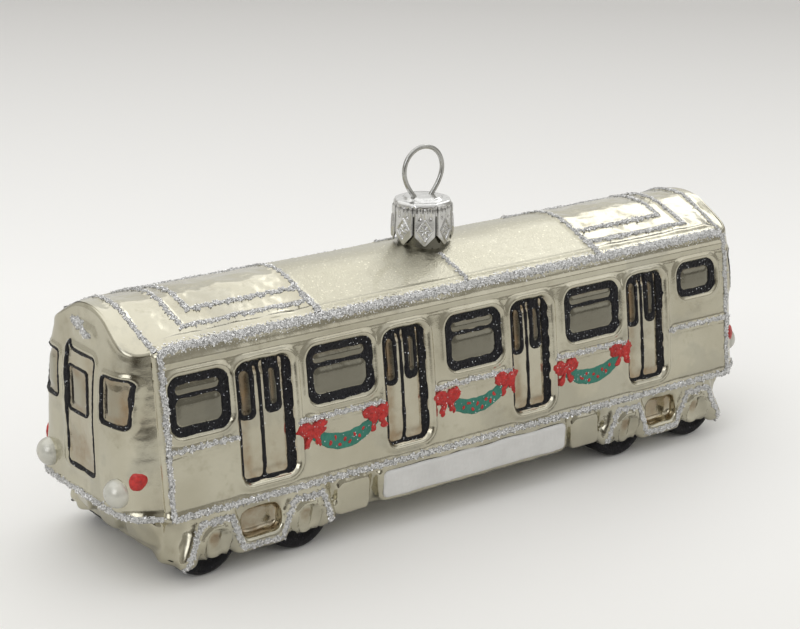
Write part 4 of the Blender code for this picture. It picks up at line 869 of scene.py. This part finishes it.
def garland(label, surface, number, start, stop, low):
    """A painted green garland with red dots, and a red bow at each end."""
    (x0, z0), (x1, z1) = start, stop

    def middle(share):
        return z0 + (z1 - z0) * share - 0.4 - 4 * share * (1 - share) * ((z0 + z1) / 2 - 0.4 - low - 1.4)

    def leaf(u, v):
        share = (u - x0) / (x1 - x0)
        half = 1.05 + 0.35 * np.clip(4 * share * (1 - share), 0, 1)
        ends = np.maximum(-share, share - 1) * 3
        return np.maximum(np.abs(v - middle(share)) - half, ends) + wobble(u, v, 7, 1.8, 0.06)

    def bow(u, v, x, z, tall):
        left = [(x - 0.2, z - 0.2), (x - 0.7, z - 1.3 * tall), (x - 1.1, z - 2.3 * tall)]
        right = [(x + 0.3, z - 0.2), (x + 0.8, z - 1.2 * tall), (x + 1.1, z - 2.0 * tall)]
        return nearest([ellipse(u, v, x - 1.25, z + 0.4, 1.6, 1.25, -0.3), polyline(u, v, left) - 0.5,
                        ellipse(u, v, x + 1.25, z + 0.4, 1.6, 1.2, 0.35), polyline(u, v, right) - 0.55,
                        ellipse(u, v, x, z + 0.1, 0.75, 0.75)])

    def bows(u, v):
        return np.minimum(bow(u, v, *start, 1.0), bow(u, v, *stop, 0.9)) + wobble(u, v, 9, 1.1, 0.16)

    def dots(u, v):
        spots = [np.hypot(u - x0 - share * (x1 - x0), v - middle(share) - up) for share, up in BERRIES]
        return nearest(spots) - 0.36 + wobble(u, v, 8, 1.0, 0.13)

    name = "garland_%s_%d" % (label, number)
    area = (x0 - 3.5, x1 + 3.5, low - 1.0, max(z0, z1) + 3.0)
    paint("paint_" + name, surface, area, leaf, GREEN, name, thick=0.16, round_off=0.3,
          rough=0.03)
    paint("bows_" + name, surface, area, bows, RED, thick=0.42, round_off=0.5, rough=0.09,
          seed=3)
    paint("berries_" + name, surface, area, dots, RED, thick=0.32, round_off=0.3, step=0.1)
    flakes("snow_" + name, surface, area, leaf, WHITE_FLAKE, 0.5, 0.1, 0.24, 400 + number, 0.2)
    flakes("glints_" + name, surface, area, bows, SILVER_FLAKE, 1.2, 0.08, 0.46, 420 + number)


def glitter(name, surface, area, distance, width=1.1, seed=50, node=None, density=13.0):
    """One glitter line round the places where distance is 0: a granular bed with tilted flakes on it."""
    def mask(u, v):
        ragged = 0.17 * waves(u, v, 1.3, seed) + 0.12 * waves(u, v, 0.5, seed + 1)
        return distance(u, v) - width / 2 + ragged

    paint("glitter_bed_" + name, surface, area, mask, GLITTER, node, step=GLITTER_STEP,
          thick=0.15, round_off=0.4, rough=0.04, seed=seed)
    flakes("glitter_flakes_" + name, surface, area, mask, SILVER_FLAKE, density, 0.115, 0.19, seed, 0.55)


def level(height):
    return lambda u, v: np.abs(v - height)


def upright(x):
    return lambda u, v: np.abs(u - x)


def line_of(points):
    return lambda u, v: polyline(u, v, points)


def dress_side(side):
    """Everything painted and glued on one side wall."""
    label = SIDE_NAMES[side]
    surface, eave = partial(side_point, side), partial(eave_point, side)
    for number, window in enumerate(WINDOWS, 1):
        black_window(label, surface, number, window)
    for number, door in enumerate(DOORS, 1):
        black_door(label, surface, number, *door)
    for number, lines in enumerate(GARLANDS, 2):
        garland(label, surface, number, *lines)
    glitter("sill_" + label, surface, (-59.5, 59.5, -1.2, 2.2), level(0.35), seed=60 + side,
            node="silver_glitter_lines" if side == LEFT else None)
    glitter("eave_" + label, eave, (-59.2, 59.2, -1.1, 2.2), level(0.5), 1.6, 62 + side)
    flakes("eave_scatter_" + label, eave, (-59.2, 59.2, -1.2, 2.2),
           lambda u, v: np.abs(v - 0.5) - 1.5 + wobble(u, v, 63 + side, 4.0, 0.2), SILVER_FLAKE, 6.0,
           0.11, 0.05, 68 + side, 0.5)
    for number, (start, stop) in enumerate(BELTS, 1):
        name = "%s_%d" % (label, number)
        glitter("belt_" + name, surface, (start - 0.9, stop + 0.9, 9.4, 12.2),
                line_of([(start, BELT), (stop, BELT)]), 0.95, 64 + number,
                "belt_glitter_" + name if 2 <= number <= 4 else None)
    for end in (FRONT, REAR):
        x = end * (HALF_CORNER - 0.9)
        glitter("corner_%s_%s" % (END_NAMES[end], label), surface, (x - 1.1, x + 1.1, 0, 26.2),
                upright(x), 1.0, 80 + end)


def end_door_lines(u, v):
    """Outlines of an end door and its pane, the door's far upper corner drawn a little too high."""
    v = v - 1.3 * smooth((-u - 2.2) / 2.0) * smooth((v - 20.8) / 1.0)
    door, pane, _ = end_shapes(u, v)
    thin = 0.12 * smooth((-u - 2.0) / 2.0) * smooth((13.0 - v) / 2.0)
    return np.minimum(np.abs(door) - 0.3 + thin, np.abs(pane) - 0.28) + wobble(u, v, 13)


def end_window_lines(u, v):
    return np.abs(end_shapes(u, v)[2]) - 0.3 + wobble(u, v, 14)


def smear(u, v):
    """Two strokes of glitter above an end door."""
    return np.minimum(ellipse(u, v, -2.6, 27.3, 1.5, 0.6), ellipse(u, v, 0.0, 26.6, 1.5, 0.4, -0.3))


def dress_end(end):
    """Everything painted and glued on one end wall."""
    label = END_NAMES[end]
    surface = partial(end_point, end)
    thin = {"per_mm2": 1.6, "lift": 0.26, "thick": 0.24, "round_off": 0.28, "rough": 0.04}
    black_paint("paint_end_door_" + label, "end_door_specks_" + label, "end_door_outline_" + label, surface,
                (-5.2, 5.2, 3.4, 25.4), end_door_lines, 380 + end, **thin)
    for side in (LEFT, RIGHT):
        hand = end * side
        tail = "%s_%s" % (label, SIDE_NAMES[side])
        area = around(hand * END_WINDOW[0], 14.0, END_WINDOW[2], END_WINDOW[3], 0.9)
        black_paint("paint_end_window_" + tail, "end_window_specks_" + tail, "end_window_outline_" + tail,
                    surface, area, end_window_lines, 384 + hand, **thin)
        red_lamp(tail, surface, hand)
        pearl(tail, end, hand)
    glitter("end_sill_" + label, surface, (-16.6, 16.6, -1.0, 2.0), level(0.4), seed=90 + end)
    glitter("end_sign_" + label, surface, (-5.4, 4.0, 25.0, 28.9), smear, 0.5, 92 + end, density=7.0)


def red_lamp(tail, surface, hand):
    u0, v0 = hand * RED_PLACE[0], RED_PLACE[1]
    paint("paint_red_lamp_" + tail, surface, around(u0, v0 - 1.3, 2.6, 2.6),
          lambda u, v: ellipse(u, v, u0, v0, 0.95, 1.45) + wobble(u, v, 15, 1.5), RED,
          "red_lamp_" + tail, step=0.1, thick=0.4, round_off=0.7, rough=0.04)


def pearl(tail, end, hand):
    """A bead half sunk in its swelling, a little out of round."""
    u, v = PEARL_PLACE
    centre = end_point(end, np.array([hand * u]), np.array([v]), np.zeros(1))[0] - (end * 0.35, 0, 0)
    polar = np.linspace(0, math.pi, 19)[:, None]
    turn = circle(32)
    long = 2.3 * (1 + 0.04 * np.cos(polar) + 0.015 * np.sin(2 * turn))
    bead = np.stack((end * long * np.cos(polar) * 0.95, long * np.sin(polar) * np.cos(turn),
                     long * np.sin(polar) * np.sin(turn)), -1) + centre
    attach(make_grid("pearl_" + tail, bead, PEARL, flipped=end == REAR), "pearl_lamp_" + tail)


def past_u(x, y, far, half_width):
    """How far a place of the roof is outside a U-shaped line."""
    return np.maximum(np.abs(y) - half_width, np.abs(x) - far)


def roof_u(shape):
    """Distance to a U-shaped roof line."""
    return lambda u, v: np.where(np.abs(u) < SEAM, 9.0, np.abs(past_u(u, v, *shape)))


def dress_roof():
    """Glitter lines of the roof."""
    def line(name, low, high, half, distance, width, seed):
        near, far = sorted((end * low, end * high))
        glitter("%s_%s" % (name, END_NAMES[end]), roof_point, (near, far, -half, half), distance, width,
                seed + end)

    for end in (FRONT, REAR):
        line("outer", SEAM - 1, 54, 11.5, roof_u(OUTER_LINE), 1.0, 100)
        line("inner", SEAM - 1, 54, 8.0, roof_u(INNER_LINE), 1.0, 102)
        line("seam", SEAM - 1.5, SEAM + 1.5, 13.3,
             lambda u, v: np.abs(np.abs(u) - SEAM) - 0.3 * smooth((np.abs(v) - 7) / 4), 0.9, 104)
        line("end_line", 58, 61, 13.4, lambda u, v: np.abs(roof_end(u, v)), 1.0, 106)
    for side in (LEFT, RIGHT):
        low, high = sorted((side * 5.6, side * 13.3))
        glitter("middle_seam_" + SIDE_NAMES[side], roof_point, (-0.8, 1.6, low, high), upright(0.4), 0.9,
                110 + side)


def on_skirt(side, made):
    """The underframe's own surface, found by casting rays at it from the side."""
    tree = BVHTree.FromPolygons([vertex.co.copy() for vertex in made.data.vertices],
                                [tuple(polygon.vertices) for polygon in made.data.polygons])

    def surface(u, v, lift):
        points = []
        for x, z, height in zip(np.ravel(u), np.ravel(v), np.ravel(lift)):
            hit = tree.ray_cast(Vector((x, side * 30, z + SILL)) * MM, Vector((0, -side, 0)), 20 * MM)[0]
            y = abs(hit.y) / MM if hit is not None else 0
            points.append((x, side * ((y if y > HALF_SILL - 1.2 else HALF_SILL) + height), z))
        return np.array(points)
    return surface


def dress_skirt(side, made):
    """Glitter on the truck frames and the blank sign panel of one side."""
    label = SIDE_NAMES[side]
    surface = on_skirt(side, made)
    for end in (FRONT, REAR):
        centre = end * TRUCK
        glitter("truck_%s_%s" % (END_NAMES[end], label), surface, (centre - 15.4, centre + 15.4, -9.6, -0.4),
                line_of([(centre + end * x, z) for x, z in TRUCK_LINE]), 1.1, 120 + side)

    def board(u, v, lift):
        return np.stack((u, side * (HALF_SILL + 0.15 + lift), v), -1)

    def mask(u, v):
        return rounded(u, v, 0, -3.4, 39.3, 4.7, 1.0) + wobble(u, v, 12, 6.0, 0.08)

    paint("paint_sign_" + label, board, (-20.4, 20.4, -6.4, -0.4), mask, WHITE,
          "sign_panel_" + label, step=0.2, thick=0.35, round_off=0.6, rough=0.02)


def turned(radius, height, turn):
    """Rings about the neck's axis."""
    return np.stack(np.broadcast_arrays(NECK_X + radius * np.cos(turn), radius * np.sin(turn), height), -1)


def columns_of(profile):
    """The two columns of a profile, each upright so that it spans the rings."""
    return (np.array(column)[:, None] for column in zip(*profile))


def make_neck():
    made = make_grid("glass_neck", turned(*columns_of(NECK), circle(40)), GLASS)
    # The whole neck takes the dark pane tone: painted shade under the cap.
    attribute(made, recess=0, satin=0, glazed=1)
    return made


def make_wheel(end, side, number):
    """The bottom of a thick black tyre, flat where it goes up into the glass."""
    centre = end * TRUCK + (-AXLE, AXLE)[number - 1]
    centre += np.sign(centre) * (0.8 if abs(centre) > TRUCK else 0.2)
    radius, across = columns_of(TYRE)
    turn = circle(56)
    height = np.minimum(WHEEL_RADIUS - radius * np.cos(turn), WHEEL_TOP) - SILL
    rings = np.stack(np.broadcast_arrays(centre + radius * np.sin(turn), side * across, height), -1)
    name = "wheel_%s_%s_%d" % (END_NAMES[end], SIDE_NAMES[side], number)
    attach(make_grid("tyre_" + name, rings, BLACK, flipped=side == LEFT), name)


def make_cap():
    """Stamped cap: eight pointed petals with a diamond and a star pressed into each."""
    rows, star_at = 60, 2.6
    turn = circle(48 * PETALS)[None, :]
    petal = ((turn - PETAL_TURN) / (2 * math.pi) * PETALS + 0.5) % 1 - 0.5
    arc = petal * 2 * math.pi * CAP_RADIUS / PETALS
    bottom = 1.8 * np.clip((np.abs(petal) - 0.03) / 0.44, 0, 1)
    z = bottom + (CAP_HEIGHT - 0.6 - bottom) * np.linspace(0, 1, rows)[:, None]
    slit = smooth((np.abs(petal) - 0.465) / 0.02) * smooth((5.2 - z) / 0.4)
    flute = smooth((np.abs(petal) - 0.40) / 0.10)
    middle = np.abs(arc) / 1.2 + np.abs(z - star_at) / 1.85 - 1
    press = 0.26 * bump(middle / 0.2) - 0.1 * smooth(-middle / 0.2)
    star = nearest(np.abs(arc * math.cos(angle) + (z - star_at) * math.sin(angle))
                   for angle in (math.pi / 6, math.pi / 2, math.pi * 5 / 6))
    reach = np.hypot(arc, z - star_at)
    press += 0.24 * bump(star / 0.2) * smooth((0.95 - reach) / 0.2) * smooth((reach - 0.15) / 0.2)
    press += 0.2 * bump(arc / 0.26) * smooth((z - 4.6) / 0.3) * smooth((6.5 - z) / 0.3)
    press -= 0.22 * bump((np.abs(petal) - 0.22) / 0.1) * smooth((z - 4.4) / 0.6) * smooth((6.6 - z) / 0.3)
    facet = math.cos(math.pi / PETALS) / np.cos(petal * 2 * math.pi / PETALS)
    outside = CAP_RADIUS * (0.45 + 0.55 * facet)
    radius = outside - 0.5 * slit - 0.22 * flute * (1 - slit) + press
    radius += 0.10 * bump((z - 2.0) / 2.8) - 0.12 * smooth((z - 5.6) / 1.0)
    inner = np.minimum(radius[:1] - 0.3, 4.78)
    top = [(outside - 0.2 - turn_in, CAP_HEIGHT - drop)
           for drop, turn_in in ((0.42, 0.04), (0.2, 0.14), (0.05, 0.34), (0.0, 0.6))]
    top += [(3.9, 7.16), (3.3, 7.12), (3.12, 7.5), (2.85, 7.6), (1.5, 7.66), (0.02, 7.68)]
    rings = [(inner, 6.6), (inner, z[:1]), (radius, z)] + top
    points = np.concatenate([turned(r, height, turn) for r, height in rings])
    points[..., 2] += CAP_BOTTOM
    made = make_grid("cap_petals", points, CAP)
    # Painted shade, near black in the material: the cap's inside, the slits between the petals and the folds
    # along their edges and near the top.
    dark = np.zeros(points.shape[:2])
    dark[:2] = 0.7
    fold = 0.55 * bump((np.abs(petal) - 0.45) / 0.05) + 0.3 * bump((z - 6.2) / 0.25)
    dark[2:2 + rows] = np.maximum(slit, fold)
    attribute(made, slit=dark)
    return made


def make_wire():
    """Round spring wire: two legs into the cap and one oval loop."""
    plate = CAP_BOTTOM + CAP_HEIGHT
    foot, widest = plate + 0.4, plate + 4.9
    half = [(2.4, plate - 5.7), (LEG, plate - 0.5), (LEG, foot)]
    for share in np.arange(1, 13) / 12:
        out = math.sin(share * math.pi / 2) ** 0.9
        half.append((LEG + (LOOP_WIDTH - LEG) * out, foot + (widest - foot) * share))
    for angle in np.arange(1, 17) / 16 * math.pi / 2:
        half.append((LOOP_WIDTH * math.cos(angle), widest + LOOP_TOP * math.sin(angle)))
    path = half + [(-x, z) for x, z in reversed(half[:-1])]
    curve = bpy.data.curves.new("hanger_loop", "CURVE")
    curve.dimensions = "3D"
    curve.bevel_depth = 0.4 * MM
    curve.bevel_resolution = 6
    curve.use_fill_caps = True
    spline = curve.splines.new("POLY")
    spline.points.add(len(path) - 1)
    for point, (x, z) in zip(spline.points, path):
        point.co = (*place((x + NECK_X, 0, z)), 1)
    holder = link("hanger_loop_curve", curve)
    bpy.context.view_layer.update()
    mesh = evaluated(holder)
    bpy.data.objects.remove(holder, do_unlink=True)
    cover(mesh, WIRE)
    made = link("hanger_loop", mesh)
    attribute(made, slit=0)
    return made


def make_floor():
    """Wide pale floor with a painted pool of light: lightest just behind the ornament, darker far off and
    towards the camera, and paler still to the camera itself.
    """
    mesh = bpy.data.meshes.new("floor")
    mesh.from_pydata([(-3, -3, 0), (3, -3, 0), (3, 3, 0), (-3, 3, 0)], [], [(0, 1, 2, 3)])
    n = material_nodes("studio_floor")
    split = n.fill(n.add("ShaderNodeSeparateXYZ"), Vector=n.coordinates)
    x, y = split.outputs["X"], split.outputs["Y"]
    depth = n.math("ADD", n.product(y, 0.794), n.product(x, 0.608))
    across = n.math("ABSOLUTE", n.math("SUBTRACT", n.product(x, 0.794), n.product(y, 0.608)))
    front = n.mix(n.spread(depth, -0.12, 0.0), (0.87, 0.86, 0.83), (0.97, 0.965, 0.95))
    seen = n.mix(n.spread(depth, 0.10, 0.50), front, (0.60, 0.59, 0.575))
    # Painted dark reflection: near the camera the floor turns near black in glossy rays only, for dark
    # reflections on the glass.
    dark_patch_in_reflections = n.product(n.spread(depth, -0.20, -0.32), n.spread(across, 0.30, 0.16))
    path = n.add("ShaderNodeLightPath").outputs
    mirrored = n.mix(n.product(dark_patch_in_reflections, path["Is Glossy Ray"]), (0.66, 0.65, 0.62), (0.05, 0.045, 0.04))
    mesh.materials.append(n.set(Base_Color=n.mix(path["Is Camera Ray"], mirrored, seen), Roughness=0.6))
    return link("floor", mesh)


def area_light(name, location, size, energy):
    light = bpy.data.lights.new(name, "AREA")
    light.shape = "RECTANGLE"
    light.size, light.size_y = size
    light.energy = energy
    made = link(name, light)
    made.location = location
    made.rotation_euler = (Vector((0, 0, 0.02)) - Vector(location)).to_track_quat("-Z", "Y").to_euler()


# What the glass mirrors: direction, wide and narrow angle and colour of ceiling, far wall, window,
# left wall, left window and the dark place behind the camera
MIRRORED = [((0, 0, 1), 70, 30, (0.62, 0.615, 0.60)),
            ((0.61, 0.79, 0.28), 36, 14, (0.74, 0.735, 0.715)),
            ((0.76, 0.33, 0.56), 18, 4, (2.0, 2.0, 1.97)),
            ((-0.50, 0.76, 0.30), 45, 15, (0.50, 0.49, 0.455)),
            ((-0.75, -0.2, 0.55), 26, 18, (0.80, 0.81, 0.84)),
            ((-0.61, -0.79, 0.22), 24, 10, (0.08, 0.072, 0.06))]


def make_world():
    """A pale studio. In reflections it has a bright far wall and a dark place behind the camera."""
    world = bpy.data.worlds.new("studio")
    bpy.context.scene.world = world
    n = Nodes(world, "Generated")

    def near(direction, wide, narrow):
        """1 within `narrow` degrees of a direction, falling to 0 at `wide` degrees."""
        dot = n.add("ShaderNodeVectorMath", operation="DOT_PRODUCT")
        n.put(dot.inputs[0], n.coordinates)
        dot.inputs[1].default_value = Vector(direction).normalized()
        fall = n.add("ShaderNodeMapRange", interpolation_type="SMOOTHSTEP")
        n.fill(fall, Value=dot.outputs["Value"], From_Min=math.cos(math.radians(wide)),
               From_Max=math.cos(math.radians(narrow)))
        return fall.outputs["Result"]

    mirrored = (0.30, 0.29, 0.265)
    for direction, wide, narrow, colour in MIRRORED:
        mirrored = n.mix(near(direction, wide, narrow), mirrored, colour)
    glossy = n.add("ShaderNodeLightPath").outputs["Is Glossy Ray"]
    n.fill(n.tree.nodes["Background"], Color=n.mix(glossy, (0.72, 0.715, 0.70), mirrored), Strength=1.0)


def make_camera():
    """The photograph's own camera."""
    azimuth, elevation, roll = (math.radians(angle) for angle in (-37.4706, 17.8929, 0.9063))
    camera = bpy.data.cameras.new("camera")
    camera.lens = 92.813
    camera.sensor_width = 36
    camera.clip_start = 0.01
    made = link("camera", camera)
    turned_to = Matrix.Rotation(azimuth, 4, "Z") @ Matrix.Rotation(math.pi / 2 - elevation, 4, "X")
    made.matrix_world = (Matrix.Translation((-0.206633, -0.265105, 0.137387)) @ turned_to
                         @ Matrix.Rotation(roll, 4, "Z"))
    bpy.context.scene.camera = made


def main():
    walls, border = make_walls()
    attach(walls)
    attach(make_roof(border))
    lower = make_lower()
    attach(lower, "glass_body")
    attach(make_neck())
    bpy.context.view_layer.update()
    for side in (LEFT, RIGHT):
        dress_side(side)
        dress_skirt(side, lower)
    for end in (FRONT, REAR):
        dress_end(end)
        for side in (LEFT, RIGHT):
            for number in (1, 2):
                make_wheel(end, side, number)
    dress_roof()
    attach(make_cap(), "crown_cap", "hanger")
    attach(make_wire(), "hanger_wire", "hanger")
    make_floor()
    area_light("softbox_above", (0.0, 0.25, 0.75), (1.5, 1.0), 2.4)
    area_light("window_left", (-0.75, -0.35, 0.45), (0.5, 0.5), 0.8)
    area_light("fill_right", (0.7, -0.6, 0.5), (0.6, 0.6), 0.5)
    make_world()
    make_camera()
    bpy.context.scene.view_settings.view_transform = "Standard"


main()
